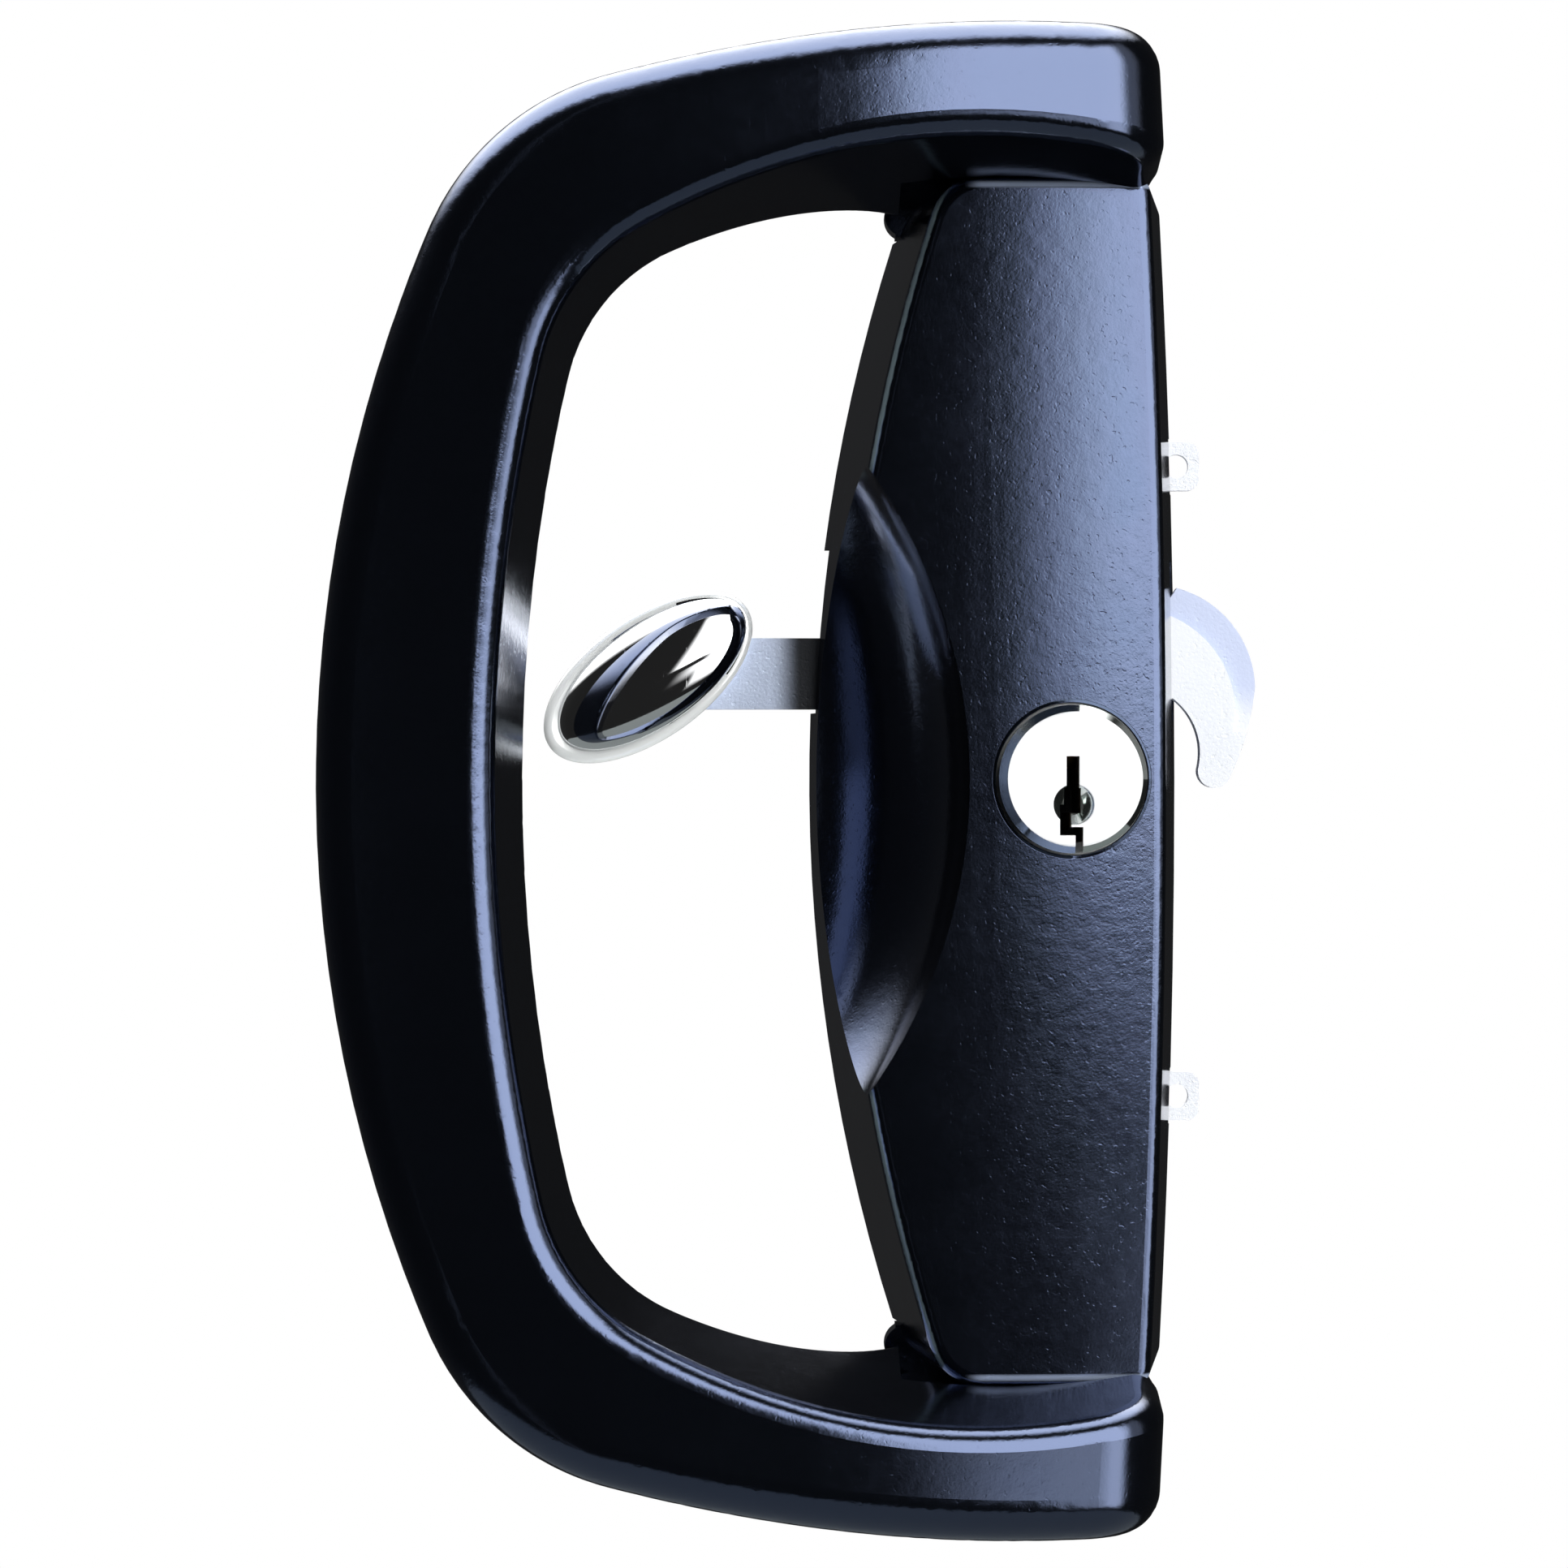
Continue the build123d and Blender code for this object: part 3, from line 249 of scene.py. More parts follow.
class Effects:
    """Node groups that several finishes share."""

    GRAIN = Cloud(0.30, 2.0, 0.6)
    WAVES = Cloud(1.5, 1.5, 0.45)
    PITS = Cloud(0.5, 1.0)
    PIT_LIMITS: Span = (0.62, 0.76)
    PIT_DEPTHS: Span = (0.0, -0.6)
    BLOTCH = Cloud(1.1, 3.0, 0.6)
    LINES = Cloud(0.09, 2.0, 0.7)
    STREAKS = Cloud(0.5, 2.0, 0.6)
    FILM = Cloud(9.0, 3.0, 0.6)
    FILM_LIMITS: Span = (0.35, 0.75)
    MARKS = Cloud(0.7, 4.0, 0.75)
    MARK_LIMITS: Span = (0.58, 0.8)

    def __init__(self) -> None:
        """Build every group once."""
        self.pebble = self._pebble()
        self.lines = self._lines()
        self.smudge = self._smudge()

    @staticmethod
    def _start(
        name: str, amounts: tuple[str, ...], results: tuple[str, ...]
    ) -> tuple[Net, Sockets, Sockets]:
        """Start a shader node group that reads a place on the surface.

        Args:
            name: Name of the group.
            amounts: Names of its inputs that are numbers.
            results: Names of its outputs.

        Returns:
            The group's net, its input sockets and its output sockets.
        """
        tree = bpy.data.node_groups.new(name, "ShaderNodeTree")
        tree.interface.new_socket("Place", in_out="INPUT", socket_type="NodeSocketVector")
        for key in amounts:
            socket = tree.interface.new_socket(key, in_out="INPUT", socket_type="NodeSocketFloat")
            socket.default_value = 1.0
        for key in results:
            tree.interface.new_socket(key, in_out="OUTPUT", socket_type="NodeSocketFloat")
        start = tree.nodes.new("NodeGroupInput")
        end = tree.nodes.new("NodeGroupOutput")
        ins = {key: start.outputs[key] for key in ("Place", *amounts)}
        outs = {key: end.inputs[key] for key in results}
        return Net(tree), ins, outs

    def _pebble(self) -> bpy.types.NodeTree:
        """Fine grain over slow waves, as a sprayed or cast surface has.

        Returns:
            The node group.
        """
        net, ins, outs = self._start("pebble", ("Grain", "Waves"), ("Height", "Blotch"))
        grain = net.noise(ins["Place"], self.GRAIN)
        waves = net.noise(ins["Place"], self.WAVES)
        pits = net.span(net.noise(ins["Place"], self.PITS), self.PIT_LIMITS, self.PIT_DEPTHS)
        height = net.plus(
            net.times(grain, ins["Grain"]),
            net.times(waves, ins["Waves"]),
            net.times(pits, ins["Grain"]),
        )
        net.put(outs["Height"], height)
        net.put(outs["Blotch"], net.noise(ins["Place"], self.BLOTCH))
        return net.tree

    def _lines(self) -> bpy.types.NodeTree:
        """Fine lines and streaks, which a stretched place makes parallel.

        Returns:
            The node group.
        """
        net, ins, outs = self._start("fine_lines", (), ("Height", "Streak"))
        net.put(outs["Height"], net.noise(ins["Place"], self.LINES))
        net.put(outs["Streak"], net.noise(ins["Place"], self.STREAKS))
        return net.tree

    def _smudge(self) -> bpy.types.NodeTree:
        """Slow cloudy film with small marks in it, as handling leaves.

        Returns:
            The node group.
        """
        net, ins, outs = self._start("smudge", (), ("Film", "Marks"))
        net.put(outs["Film"], net.span(net.noise(ins["Place"], self.FILM), self.FILM_LIMITS))
        net.put(outs["Marks"], net.span(net.noise(ins["Place"], self.MARKS), self.MARK_LIMITS))
        return net.tree


@dataclass(frozen=True)
class Finish(ABC):
    """A surface finish that can be made into a material."""

    name: str

    def material(self, effects: Effects) -> bpy.types.Material:
        """Make the finish's material.

        Args:
            effects: The shared node groups.

        Returns:
            The new material.
        """
        made = bpy.data.materials.new(self.name)
        made.use_nodes = True
        made.node_tree.nodes.clear()
        net = Net(made.node_tree)
        shader = net.add("BsdfPrincipled")
        out = net.add("OutputMaterial")
        net.put(out.inputs["Surface"], shader.outputs["BSDF"])
        self.fill(net, shader, effects)
        return made

    @abstractmethod
    def fill(self, net: Net, shader: bpy.types.Node, effects: Effects) -> None:
        """Set up the shader.

        Args:
            net: The material's nodes.
            shader: The Principled shader.
            effects: The shared node groups.
        """

    @staticmethod
    def place(net: Net, stretch: Triple = (1.0, 1.0, 1.0)) -> Socket:
        """Place on the surface in metres, in the object's own frame.

        Args:
            net: The material's nodes.
            stretch: Scale along the three axes.

        Returns:
            The place.
        """
        texture = net.add("TexCoord")
        mapping = net.add("Mapping")
        net.put(mapping.inputs["Vector"], texture.outputs["Object"])
        net.put(mapping.inputs["Scale"], stretch)
        return mapping.outputs["Vector"]

    @staticmethod
    def distance(net: Net, place: Socket, x: float, z: float) -> Socket:
        """Distance from an axis that runs front to back.

        Args:
            net: The material's nodes.
            place: Place on the surface, in metres.
            x: Place of the axis across the lock, in mm.
            z: Height of the axis, in mm.

        Returns:
            The distance in metres.
        """
        flat = net.add("VectorMath", operation="MULTIPLY")
        net.put(flat.inputs[0], place)
        net.put(flat.inputs[1], (1.0, 0.0, 1.0))
        apart = net.add("VectorMath", operation="DISTANCE")
        net.put(apart.inputs[0], flat.outputs["Vector"])
        net.put(apart.inputs[1], (x * MM, 0.0, z * MM))
        return apart.outputs["Value"]

    @staticmethod
    def group(net: Net, tree: bpy.types.NodeTree, **values: Value) -> Sockets:
        """Place a shared group in the material.

        Args:
            net: The material's nodes.
            tree: The node group.
            **values: Value or socket by input name.

        Returns:
            The group's outputs by name.
        """
        node = net.add("Group", node_tree=tree)
        for key, value in values.items():
            net.put(node.inputs[key], value)
        return {socket.name: socket for socket in node.outputs}


@dataclass(frozen=True)
class BlackEnamel(Finish):
    """Black coat with a fine pebble and a cool sheen."""

    colour: Colour = (0.0008, 0.0010, 0.0013)
    worn: Colour = (0.0016, 0.0020, 0.0024)
    sheen: Colour = (0.50, 0.62, 1.0)
    ior: float = 2.14
    roughness: float = 0.125
    uneven: Span = (-0.008, 0.012)
    blotch_limits: Span = (0.3, 0.7)
    film_roughness: float = 0.02
    grain: float = 1.8
    waves: float = 3.0
    relief_mm: float = 0.0038

    def fill(self, net: Net, shader: bpy.types.Node, effects: Effects) -> None:
        """Black base, slightly uneven roughness and a pebbled normal.

        Args:
            net: The material's nodes.
            shader: The Principled shader.
            effects: The shared node groups.
        """
        place = self.place(net)
        pebble = self.group(net, effects.pebble, Place=place, Grain=self.grain, Waves=self.waves)
        film = self.group(net, effects.smudge, Place=place)
        coat = net.blend(film["Marks"], self.colour, self.worn)
        net.put(shader.inputs["Base Color"], self.painted_edge_highlights(net, place, coat))
        ends = self.roughness + self.uneven[0], self.roughness + self.uneven[1]
        rough = net.span(pebble["Blotch"], self.blotch_limits, ends)
        rough = net.plus(rough, net.times(film["Film"], self.film_roughness))
        net.put(shader.inputs["Roughness"], rough)
        under = self.shape(net, place)
        net.put(shader.inputs["Normal"], net.bump(pebble["Height"], self.relief_mm, under))
        net.put(shader.inputs["IOR"], self.ior)
        net.put(shader.inputs["Specular Tint"], (*self.sheen, 1.0))

    def painted_edge_highlights(self, net: Net, place: Socket, coat: Socket) -> Socket:
        """Colour of the coat with its painted edge highlights, of which the pull has none.

        Args:
            net: The material's nodes.
            place: Place on the surface.
            coat: Colour of the coat.

        Returns:
            The colour.
        """
        return coat

    def shape(self, net: Net, place: Socket) -> Socket | None:
        """Normal that the pebble lies on, which on the pull is the mesh's own.

        Args:
            net: The material's nodes.
            place: Place on the surface.

        Returns:
            The normal, or None for the mesh's own.
        """
        return None


@dataclass(frozen=True)
class CoverEnamel(BlackEnamel):
    """Black coat of the cover: rounded at the key hole, with painted highlights on the left edge
    and ends.
    """

    hole_x: float = 6.6
    hole_z: float = 0.2
    hole_radius: float = 7.88
    edge_width: float = 0.34
    edge_drop: float = 0.10
    # Painted highlight: pale line across both ends of the cover, on the rounded end edge.
    end_highlight_colour: Colour = (0.26, 0.31, 0.42)
    end_highlight_z: float = 61.25
    end_inner: Span = (-0.45, -0.1)
    end_outer: Span = (0.1, 0.5)
    end_left: Span = (-4.6, -2.6)
    # Painted highlight: pale greenish line along the rounded left edge of the cover.
    side_highlight_colour: Colour = (0.15, 0.20, 0.22)
    side_right: Span = (-0.62, -0.48)
    side_left: Span = (-0.90, -0.76)
    side_front: Span = (-0.35, -0.2)
    side_start: Span = (31.0, 33.0)

    def painted_edge_highlights(self, net: Net, place: Socket, coat: Socket) -> Socket:
        """Painted highlight lines along the rounded left edge and across both ends.

        Args:
            net: The material's nodes.
            place: Place on the surface.
            coat: Colour of the coat.

        Returns:
            The colour.
        """
        x, _, z = net.axes(place)
        away = net.maths("DIVIDE", net.maths("ABSOLUTE", z), MM)
        across = net.maths("DIVIDE", x, MM)
        left, front, _ = net.axes(net.add("TexCoord").outputs["Normal"])
        # Painted highlight on faces turned left and forward, more than about 32 mm above or below
        # the middle.
        side = net.times(
            net.span(left, self.side_right, FALL),
            net.span(left, self.side_left),
            net.span(front, self.side_front, FALL),
            net.span(away, self.side_start),
        )
        inner = self.end_highlight_z + self.end_inner[0], self.end_highlight_z + self.end_inner[1]
        outer = self.end_highlight_z + self.end_outer[0], self.end_highlight_z + self.end_outer[1]
        # Painted highlight across both ends, at the height of the end edge, on the cover's right
        # part.
        end_highlight = net.times(
            net.span(away, inner), net.span(away, outer, FALL), net.span(across, self.end_left)
        )
        return net.blend(end_highlight, net.blend(side, coat, self.side_highlight_colour), self.end_highlight_colour)

    def shape(self, net: Net, place: Socket) -> Socket:
        """Edge that falls away towards the key hole.

        Args:
            net: The material's nodes.
            place: Place on the surface.

        Returns:
            The normal.
        """
        away = self.distance(net, place, self.hole_x, self.hole_z)
        fall = net.span_mm(away, (self.hole_radius, self.hole_radius + self.edge_width))
        return net.bump(fall, self.edge_drop)


@dataclass(frozen=True)
class PaintedShadeZone:
    """Part of a piece painted darker as shade, from one place along an axis to another."""

    axis: int
    limits_mm: Span
    colour: Colour
    fade_up_mm: Span | None = None


@dataclass(frozen=True)
class SatinMetal(Finish):
    """Plated, rolled or cast metal with a soft shine."""

    colour: Colour
    shade: Colour
    metallic: float
    roughness: float
    relief_mm: float = 0.008
    grain: float = 0.6
    waves: float = 0.5
    film_share: float = 0.35
    marks_share: float = 0.4
    marks_roughness: float = 0.12
    painted_shade: PaintedShadeZone | None = None

    def fill(self, net: Net, shader: bpy.types.Node, effects: Effects) -> None:
        """Cloudy colour, pebble in the normal, and marks in the roughness.

        Args:
            net: The material's nodes.
            shader: The Principled shader.
            effects: The shared node groups.
        """
        place = self.place(net)
        pebble = self.group(net, effects.pebble, Place=place, Grain=self.grain, Waves=self.waves)
        film = self.group(net, effects.smudge, Place=place)
        tone = net.plus(
            net.times(film["Film"], self.film_share), net.times(film["Marks"], self.marks_share)
        )
        colour = net.blend(tone, self.colour, self.shade)
        # Painted shade: one part of the piece, set by its place along an axis, gets a darker
        # colour.
        if self.painted_shade is not None:
            parts = net.axes(place)
            share = net.span_mm(parts[self.painted_shade.axis], self.painted_shade.limits_mm)
            if self.painted_shade.fade_up_mm is not None:
                share = net.times(share, net.span_mm(parts[2], self.painted_shade.fade_up_mm))
            colour = net.blend(share, colour, self.painted_shade.colour)
        net.put(shader.inputs["Base Color"], colour)
        net.put(shader.inputs["Metallic"], self.metallic)
        marks = net.times(film["Marks"], self.marks_roughness)
        net.put(shader.inputs["Roughness"], net.plus(marks, self.roughness))
        net.put(shader.inputs["Normal"], net.bump(pebble["Height"], self.relief_mm))


@dataclass(frozen=True)
class MirrorChrome(Finish):
    """Polished chrome with hairline scratches and a thin film of handling."""

    colour: Colour = (0.80, 0.81, 0.82)
    dull: Colour = (0.50, 0.49, 0.47)
    roughness: float = 0.035
    film_roughness: float = 0.03
    worn_roughness: float = 0.2
    scratch_stretch: Triple = (1.0, 1.0, 0.04)
    scratch_limits: Span = (0.66, 0.74)
    scratch_mm: float = 0.002
    scratch_share: float = 0.15
    marks_share: float = 0.45

    def fill(self, net: Net, shader: bpy.types.Node, effects: Effects) -> None:
        """Near mirror, broken by scratches and marks.

        Args:
            net: The material's nodes.
            shader: The Principled shader.
            effects: The shared node groups.
        """
        film = self.group(net, effects.smudge, Place=self.place(net))
        lines = self.group(net, effects.lines, Place=self.place(net, self.scratch_stretch))
        scratch = net.span(lines["Streak"], self.scratch_limits)
        marks = net.times(film["Marks"], self.marks_share)
        worn = net.maths("ADD", marks, net.times(scratch, self.scratch_share), clamp=True)
        net.put(shader.inputs["Base Color"], net.blend(worn, self.colour, self.dull))
        net.put(shader.inputs["Metallic"], 1.0)
        rough = net.plus(net.times(film["Film"], self.film_roughness), self.roughness)
        rough = net.plus(rough, net.times(worn, self.worn_roughness))
        net.put(shader.inputs["Roughness"], rough)
        net.put(shader.inputs["Normal"], net.bump(scratch, self.scratch_mm))


@dataclass(frozen=True)
class PlugNickel(Finish):
    """Bright face of the key plug: polished chamfer, entry dimple, and keyway walls painted dark
    as shade.
    """

    colour: Colour = (0.94, 0.95, 0.96)
    shade: Colour = (0.85, 0.86, 0.88)
    polished: Colour = (0.62, 0.66, 0.64)
    # Painted shade: dark brown for the keyway walls deep behind the face.
    inside: Colour = (0.16, 0.13, 0.10)
    axis_x: float = 6.6
    axis_z: float = 0.2
    face_x: float = 6.78
    face_radius: float = 6.88
    face_blur: float = 0.06
    face_height: float = 29.0
    entry_z: float = -2.4
    entry_radius: float = 2.15
    entry_blur: float = 0.03
    below_face: Span = (0.05, 0.12)
    deep_inside: Span = (1.05, 1.4)
    film_share: float = 0.3
    face_metallic: float = 0.25
    polish_metallic: float = 0.75
    face_roughness: float = 0.30
    polish_roughness: float = -0.22
    marks_roughness: float = 0.06
    grain: float = 0.4
    waves: float = 0.3
    relief_mm: float = 0.004

    def fill(self, net: Net, shader: bpy.types.Node, effects: Effects) -> None:
        """Zones by distance from the axis, from the entry and behind the face.

        Args:
            net: The material's nodes.
            shader: The Principled shader.
            effects: The shared node groups.
        """
        place = self.place(net)
        film = self.group(net, effects.smudge, Place=place)
        pebble = self.group(net, effects.pebble, Place=place, Grain=self.grain, Waves=self.waves)
        edge = net.span_mm(
            self.distance(net, place, self.face_x, self.axis_z),
            (self.face_radius, self.face_radius + self.face_blur),
        )
        entry = net.span_mm(
            self.distance(net, place, self.axis_x, self.entry_z),
            (self.entry_radius - self.entry_blur, self.entry_radius + self.entry_blur),
            FALL,
        )
        depth = net.plus(net.axes(place)[1], self.face_height * MM)
        below = net.span_mm(depth, self.below_face)
        deep = net.span_mm(depth, self.deep_inside)
        polish = net.maths("MAXIMUM", edge, net.times(entry, below))
        polish = net.times(polish, net.maths("SUBTRACT", 1.0, net.times(deep, entry)))
        face = net.blend(net.times(film["Film"], self.film_share), self.colour, self.shade)
        face = net.blend(polish, face, self.polished)
        # Keyway walls deep behind the face, clear of the chamfer, take the painted shade colour.
        inner = net.times(deep, net.maths("SUBTRACT", 1.0, edge))
        net.put(shader.inputs["Base Color"], net.blend(inner, face, self.inside))
        metallic = net.times(polish, self.polish_metallic)
        metallic = net.maths("ADD", metallic, self.face_metallic, clamp=True)
        net.put(shader.inputs["Metallic"], metallic)
        rough = net.plus(net.times(polish, self.polish_roughness), self.face_roughness)
        rough = net.plus(rough, net.times(film["Marks"], self.marks_roughness))
        net.put(shader.inputs["Roughness"], rough)
        net.put(shader.inputs["Normal"], net.bump(pebble["Height"], self.relief_mm))


class Look(Enum):
    """The finishes of the lock."""

    ENAMEL = BlackEnamel("black_enamel")
    COVER = CoverEnamel("cover_enamel")
    PLUG = PlugNickel("plug_nickel")
    PLATE = SatinMetal(
        "bright_zinc", (0.80, 0.82, 0.85), (0.68, 0.70, 0.76), 0.25, 0.42,
        grain=1.0, relief_mm=0.03,
    )
    # Satin zinc hook; its lowered band is painted darker blue-grey as shade, fading in from 5.4 to
    # 10.5 mm up.
    HOOK = SatinMetal(
        "satin_zinc", (0.82, 0.84, 0.87), (0.74, 0.77, 0.84), 0.25, 0.36,
        relief_mm=0.02, painted_shade=PaintedShadeZone(1, (-7.2, -6.8), (0.56, 0.62, 0.80), (5.4, 10.5)),
    )
    # Rolled steel lever; close to the cover's edge it is painted near-black as the cover's shadow.
    LEVER = SatinMetal(
        "rolled_steel", (0.66, 0.74, 0.92), (0.42, 0.49, 0.65), 0.55, 0.34,
        relief_mm=0.03, painted_shade=PaintedShadeZone(0, (-24.6, -21.2), (0.02, 0.022, 0.026)),
    )
    STEEL = SatinMetal("turned_steel", (0.60, 0.61, 0.63), (0.45, 0.46, 0.48), 1.0, 0.30)
    SPRING = SatinMetal("spring_wire", (0.42, 0.42, 0.44), (0.25, 0.25, 0.27), 1.0, 0.32)
    SHELL = SatinMetal(
        "cast_zinc", (0.55, 0.56, 0.57), (0.38, 0.39, 0.40), 0.9, 0.5, grain=1.2, relief_mm=0.03
    )
    BRASS = SatinMetal("turned_brass", (0.72, 0.53, 0.24), (0.50, 0.36, 0.16), 1.0, 0.28)
    # Pale satin nickel for the knob's rim: its white is painted reflection of bright light.
    NICKEL_PAINTED_REFLECTION = SatinMetal(
        "satin_nickel_painted_reflection", (0.93, 0.95, 0.94), (0.82, 0.86, 0.84), 0.3, 0.18, relief_mm=0.004
    )
    SCREW = SatinMetal("plated_steel", (0.66, 0.67, 0.70), (0.50, 0.51, 0.54), 1.0, 0.28)
    CHROME = MirrorChrome("mirror_chrome")


NODE_LOOK: dict[str, Look] = {
    "d_handle": Look.ENAMEL,
    "body_cover": Look.COVER,
    "back_plate": Look.PLATE,
    "snib_lever": Look.LEVER,
    "snib_knob": Look.CHROME,
    "snib_knob_rivet": Look.STEEL,
    "snib_pivot_pin": Look.STEEL,
    "snib_pivot_clip": Look.SPRING,
    "deadlock_peg": Look.STEEL,
    "toggle_spring": Look.SPRING,
    "toggle_post": Look.STEEL,
    "hook": Look.HOOK,
    "hook_pivot_pin": Look.STEEL,
    "hook_pivot_clip": Look.SPRING,
    "cylinder_shell": Look.SHELL,
    "cylinder_plug": Look.PLUG,
    "deadlock_cam": Look.LEVER,
    "chamber_cap": Look.SHELL,
    "cam_screws": Look.SCREW,
    "cylinder_screws": Look.SCREW,
    "handle_screws": Look.SCREW,
    "plate_screws": Look.SCREW,
}

CHAMBERS = (1, 2, 3, 4)
CHAMBER_LOOK: dict[str, Look] = {
    "key_pin": Look.BRASS, "driver_pin": Look.BRASS, "pin_spring": Look.SPRING,
}
NODE_LOOK |= {
    f"{name}_{number}": look for name, look in CHAMBER_LOOK.items() for number in CHAMBERS
}


@dataclass(frozen=True)
class Studio:
    """Camera, soft light and floor. Angles are in degrees: to the right of the camera, and up."""

    camera_place: Vector = field(default_factory=lambda: Vector((-0.023, -0.600, -0.0003)))
    sensor_mm: float = 36.0
    lens_mm: float = 128.35
    clip: Span = (0.01, 20.0)
    floor_level: float = -0.55
    floor_radius: float = 0.7
    floor_points: int = 96
    floor_cloud: Cloud = Cloud(30.0, 3.0)
    floor_tones: tuple[Colour, Colour] = ((0.90, 0.90, 0.90), (0.93, 0.93, 0.93))
    floor_reflected: Colour = (0.08, 0.09, 0.09)
    floor_roughness: float = 0.8
    floor_glow: float = 0.35
    key_level: float = 4.8
    key_left: Span = (4.0, 15.5)
    key_right: Span = (58.0, 78.0)
    key_end: Span = (85.0, 100.0)
    key_foot: Span = (-1.2, 0.4)
    key_head: Span = (42.0, 54.0)
    foot_turn: Span = (20.0, 32.0)
    foot_drop: float = 1.4
    side_share: float = 0.12
    low_share: float = 0.35
    low_left: Span = (10.0, 26.0)
    low_middle: Span = (34.0, 50.0)
    low_right: Span = (60.0, 75.0)
    low_foot: Span = (-18.0, -8.0)
    low_head: Span = (-5.8, -4.6)
    low_turn: Span = (24.0, 34.0)
    low_drop: float = 14.0
    top_level: float = 5.0
    top_way: Triple = (-0.17, 0.36, 0.918)
    top_edge: Span = (0.64, 0.86)
    left_level: float = 0.032
    dark_level: float = 0.016
    left_turn: Span = (-140.0, -60.0)
    stand_level: float = 0.30
    stand_left: Span = (-27.2, -26.6)
    stand_right: Span = (-26.0, -25.4)

    def build(self) -> None:
        """Set up everything round the lock."""
        self._camera()
        self._world()
        self._floor()
        LOG.info("camera, world and floor are set up")

    def _camera(self) -> None:
        """Camera at the photograph's place, looking straight at the door."""
        data = bpy.data.cameras.new("camera")
        data.sensor_width = self.sensor_mm
        data.lens = self.lens_mm
        data.clip_start, data.clip_end = self.clip
        camera = bpy.data.objects.new("camera", data)
        camera.location = self.camera_place
        camera.rotation_euler = (math.pi / 2, 0.0, 0.0)
        bpy.context.scene.collection.objects.link(camera)
        bpy.context.scene.camera = camera

    def _key(self, net: Net, azimuth: Socket, elevation: Socket) -> Socket:
        """Large soft panel to the right of the camera, with a weaker strip under it.

        Args:
            net: The world's nodes.
            azimuth: Angle to the right of the camera.
            elevation: Angle over the floor.

        Returns:
            Level between 0 and 1.
        """
        foot = net.plus(elevation, net.span(azimuth, self.foot_turn, (0.0, self.foot_drop)))
        side = net.times(
            net.span(azimuth, self.key_left),
            net.span(azimuth, self.key_right, (1.0, self.side_share)),
            net.span(azimuth, self.key_end, FALL),
            net.span(foot, self.key_foot),
        )
        ends = 0.0, self.low_share
        share = net.plus(
            net.span(azimuth, self.low_left, ends), net.span(azimuth, self.low_middle, ends)
        )
        foot = net.plus(elevation, net.span(azimuth, self.low_turn, (0.0, self.low_drop)))
        gap = net.maths(
            "MAXIMUM", net.span(elevation, self.low_head, FALL), net.span(azimuth, self.low_turn)
        )
        low = net.times(
            share, net.span(foot, self.low_foot), gap, net.span(azimuth, self.low_right, FALL)
        )
        level = net.maths("MAXIMUM", side, low)
        return net.times(level, net.span(elevation, self.key_head, FALL))

    def _world(self) -> None:
        """Soft panels to the right and over the lock, dim elsewhere, and white to the camera."""
        world = bpy.data.worlds.new("studio")
        bpy.context.scene.world = world
        world.use_nodes = True
        world.node_tree.nodes.clear()
        net = Net(world.node_tree)
        way = net.add("TexCoord").outputs["Generated"]
        x, y, z = net.axes(way)
        azimuth = net.times(net.maths("ARCTAN2", x, net.times(y, -1.0)), math.degrees(1.0))
        elevation = net.times(net.maths("ARCSINE", z), math.degrees(1.0))
        dot = net.add("VectorMath", operation="DOT_PRODUCT")
        net.put(dot.inputs[0], way)
        net.put(dot.inputs[1], self.top_way)
        key = net.times(self._key(net, azimuth, elevation), self.key_level)
        top = net.times(net.span(dot.outputs["Value"], self.top_edge), self.top_level)
        stand = net.times(
            net.span(azimuth, self.stand_left),
            net.span(azimuth, self.stand_right, FALL),
            self.stand_level,
        )
        dim = net.span(azimuth, self.left_turn, (self.left_level, self.dark_level))
        level = net.plus(net.plus(key, top), net.plus(dim, stand))
        shown = net.add("Mix", data_type="FLOAT")
        net.put(shown.inputs["Factor"], net.add("LightPath").outputs["Is Camera Ray"])
        net.put(shown.inputs[2], level)
        net.put(shown.inputs[3], 1.0)
        light = net.add("Background")
        net.put(light.inputs["Color"], (*WHITE, 1.0))
        net.put(light.inputs["Strength"], shown.outputs[0])
        out = net.add("OutputWorld")
        net.put(out.inputs["Surface"], light.outputs[0])

    def _floor(self) -> None:
        """Pale round floor under the lock, dark in what the lock mirrors of it."""
        bpy.ops.mesh.primitive_circle_add(
            vertices=self.floor_points,
            radius=self.floor_radius,
            fill_type="NGON",
            location=(0.0, 0.0, self.floor_level),
        )
        floor = bpy.context.object
        floor.name = "floor"
        material = bpy.data.materials.new("pale_floor")
        material.use_nodes = True
        material.node_tree.nodes.clear()
        net = Net(material.node_tree)
        shader = net.add("BsdfPrincipled")
        path = net.add("LightPath")
        pale = net.blend(net.noise(Finish.place(net), self.floor_cloud), *self.floor_tones)
        tone = net.blend(path.outputs["Is Glossy Ray"], pale, self.floor_reflected)
        glow = net.times(path.outputs["Is Camera Ray"], self.floor_glow)
        net.put(shader.inputs["Base Color"], tone)
        net.put(shader.inputs["Roughness"], self.floor_roughness)
        net.put(shader.inputs["Emission Color"], (*WHITE, 1.0))
        net.put(shader.inputs["Emission Strength"], glow)
        out = net.add("OutputMaterial")
        net.put(out.inputs["Surface"], shader.outputs["BSDF"])
        floor.data.materials.append(material)


@dataclass(frozen=True)
class Ring:
    """One oval section of the knob, in millimetres."""

    half_length: float
    half_width: float
    height: float
    shift: float = 0.0
    lift: float = 0.0


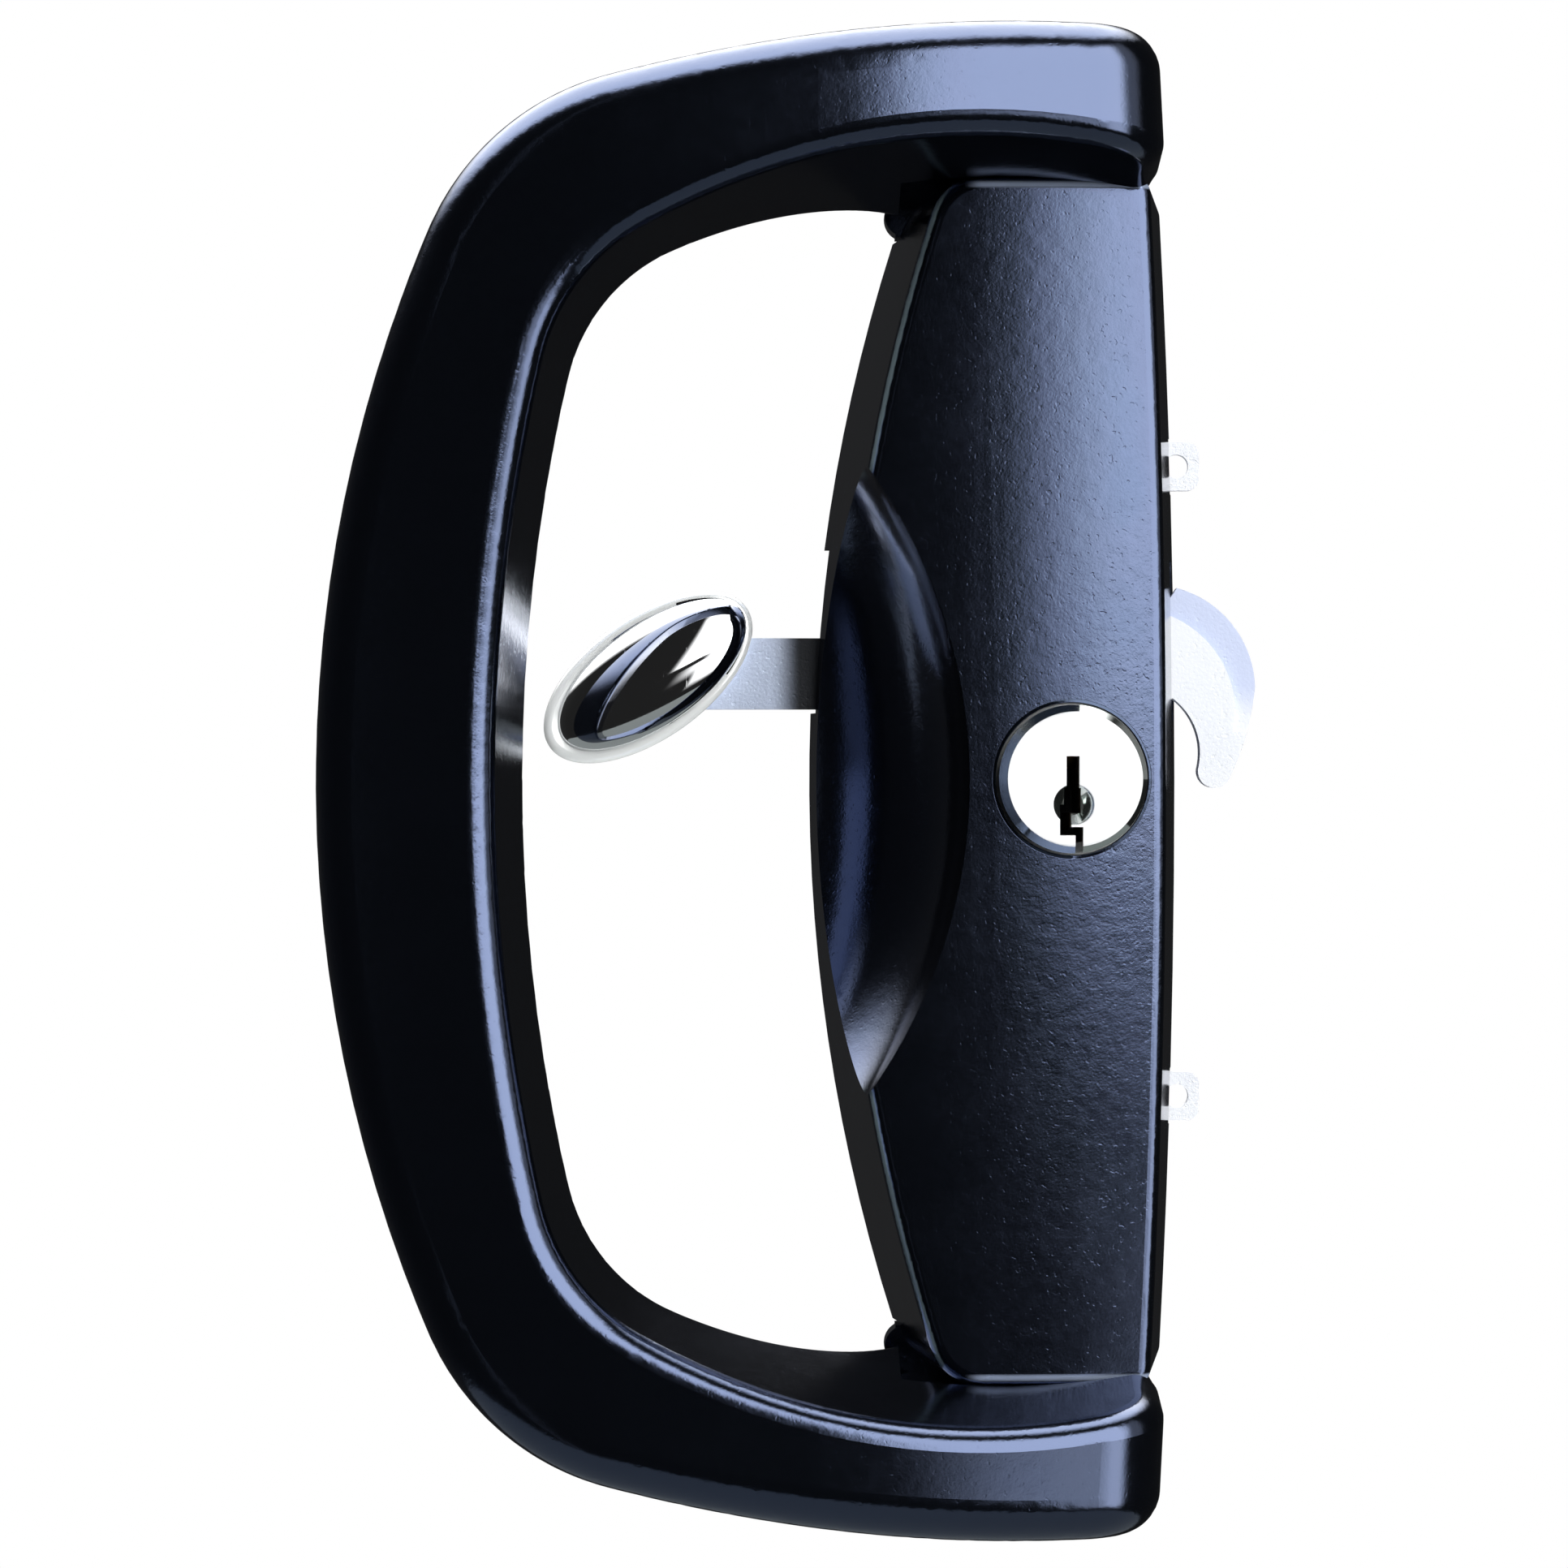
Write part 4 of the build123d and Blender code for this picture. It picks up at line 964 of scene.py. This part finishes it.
@dataclass(frozen=True)
class Knob:
    """Oval knob: a pale rounded rim with a polished dome set in it, on a round stem."""

    place: Vector = field(default_factory=lambda: Vector((-37.4, 0.0, 11.0)) * MM)
    tilt_degrees: float = 35.5
    half_length: float = 12.78
    half_width: float = 6.48
    stem_radius: float = 3.4
    stem_low: float = 3.62
    rim_low: float = 7.2
    rim_high: float = 8.45
    lower_rim: Profile = ((0.60, 0.0), (0.22, 0.08), (0.05, 0.28), (0.0, 0.50), (0.05, 0.75))
    upper_rim: Profile = ((0.20, -0.25), (0.45, -0.08), (0.75, 0.0), (1.05, -0.05))
    dome_inset: float = 1.12
    dome_sunk: float = 0.12
    dome_rise: float = 3.35
    dome_shift: float = 0.55
    dome_drop: float = 0.75
    dome_degrees: float = 89.0
    dome_steps: int = 28
    dome_border: float = 0.05
    ring_points: int = 192
    smooth_degrees: float = 65.0

    def build(self, rim: bpy.types.Material, dome: bpy.types.Material) -> None:
        """Model the knob in place of the plain one.

        Args:
            rim: Pale satin finish of the rim and the stem; its white on the rim is painted
                reflection.
            dome: Finish of the dome.
        """
        knob = self._model()
        knob.data.materials.append(rim)
        knob.data.materials.append(dome)
        self._mark_dome(knob)
        bpy.ops.object.shade_smooth_by_angle(angle=math.radians(self.smooth_degrees))
        knob.rotation_euler = (math.pi / 2, -math.radians(self.tilt_degrees), 0.0)
        knob.location = self.place
        bpy.ops.object.transform_apply(location=True, rotation=True, scale=True)
        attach(knob, "snib")
        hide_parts("snib_knob")
        LOG.info("%s: %s faces", knob.name, len(knob.data.polygons))

    def _rings(self) -> list[Ring]:
        """Sections from the stem's foot to the top of the dome.

        Returns:
            The sections in order.
        """
        stem = self.stem_low, self.rim_low
        sections = [Ring(self.stem_radius, self.stem_radius, height) for height in stem]
        for level, profile in ((self.rim_low, self.lower_rim), (self.rim_high, self.upper_rim)):
            sections += [
                Ring(self.half_length - inset, self.half_width - inset, level + rise)
                for inset, rise in profile
            ]
        for step in range(self.dome_steps):
            turn = math.radians(self.dome_degrees) * step / (self.dome_steps - 1)
            sections.append(
                Ring(
                    (self.half_length - self.dome_inset) * math.cos(turn),
                    (self.half_width - self.dome_inset) * math.cos(turn),
                    self.rim_high - self.dome_sunk + self.dome_rise * math.sin(turn),
                    self.dome_shift,
                    -self.dome_drop * math.sin(turn),
                )
            )
        return sections

    def _model(self) -> bpy.types.Object:
        """Extrude and resize a disc from section to section.

        Returns:
            The knob, face up at the origin.
        """
        now, *others = self._rings()
        bpy.ops.object.select_all(action="DESELECT")
        bpy.ops.mesh.primitive_circle_add(vertices=self.ring_points, radius=MM, fill_type="NGON")
        knob = bpy.context.object
        knob.name = "oval_knob"
        bpy.ops.object.mode_set(mode="EDIT")
        bpy.ops.mesh.select_all(action="SELECT")
        bpy.ops.transform.resize(
            value=(now.half_length, now.half_width, 1.0), center_override=(0.0, 0.0, 0.0)
        )
        bpy.ops.transform.translate(value=(0.0, 0.0, now.height * MM))
        for section in others:
            move = (
                section.shift - now.shift, section.lift - now.lift, section.height - now.height
            )
            bpy.ops.mesh.extrude_region_move(
                TRANSFORM_OT_translate={
                    "value": tuple(part * MM for part in move), "orient_type": "GLOBAL",
                }
            )
            bpy.ops.transform.resize(
                value=(
                    section.half_length / now.half_length, section.half_width / now.half_width, 1.0
                ),
                center_override=(section.shift * MM, section.lift * MM, section.height * MM),
            )
            now = section
        bpy.ops.mesh.select_all(action="SELECT")
        bpy.ops.mesh.normals_make_consistent(inside=False)
        bpy.ops.object.mode_set(mode="OBJECT")
        return knob

    def _mark_dome(self, knob: bpy.types.Object) -> None:
        """Give the faces of the dome the second material.

        Args:
            knob: The knob, face up at the origin.
        """
        length = (self.half_length - self.dome_inset + self.dome_border) * MM
        width = (self.half_width - self.dome_inset + self.dome_border) * MM
        for face in knob.data.polygons:
            along = (face.center.x - self.dome_shift * MM) / length
            across = face.center.y / width
            raised = face.center.z > self.rim_low * MM
            face.material_index = int(raised and math.hypot(along, across) < 1.0)


def dress(materials: dict[Look, bpy.types.Material]) -> None:
    """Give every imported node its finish.

    Args:
        materials: Material by look.
    """
    for name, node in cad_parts.items():
        look = NODE_LOOK[name]
        for slot in node.material_slots:
            slot.material = materials[look]
        LOG.info("%s: %s", name, look.value.name)


def main() -> None:
    """Build the looks."""
    logging.basicConfig(level=logging.INFO, format="%(name)s: %(message)s")
    scene = bpy.context.scene
    scene.view_settings.view_transform = "Standard"
    effects = Effects()
    materials = {look: look.value.material(effects) for look in Look}
    dress(materials)
    # The knob's rim and stem get pale satin nickel as painted reflection; the dome stays chrome.
    Knob().build(materials[Look.NICKEL_PAINTED_REFLECTION], materials[Look.CHROME])
    Studio().build()


if __name__ == "__main__":
    main()
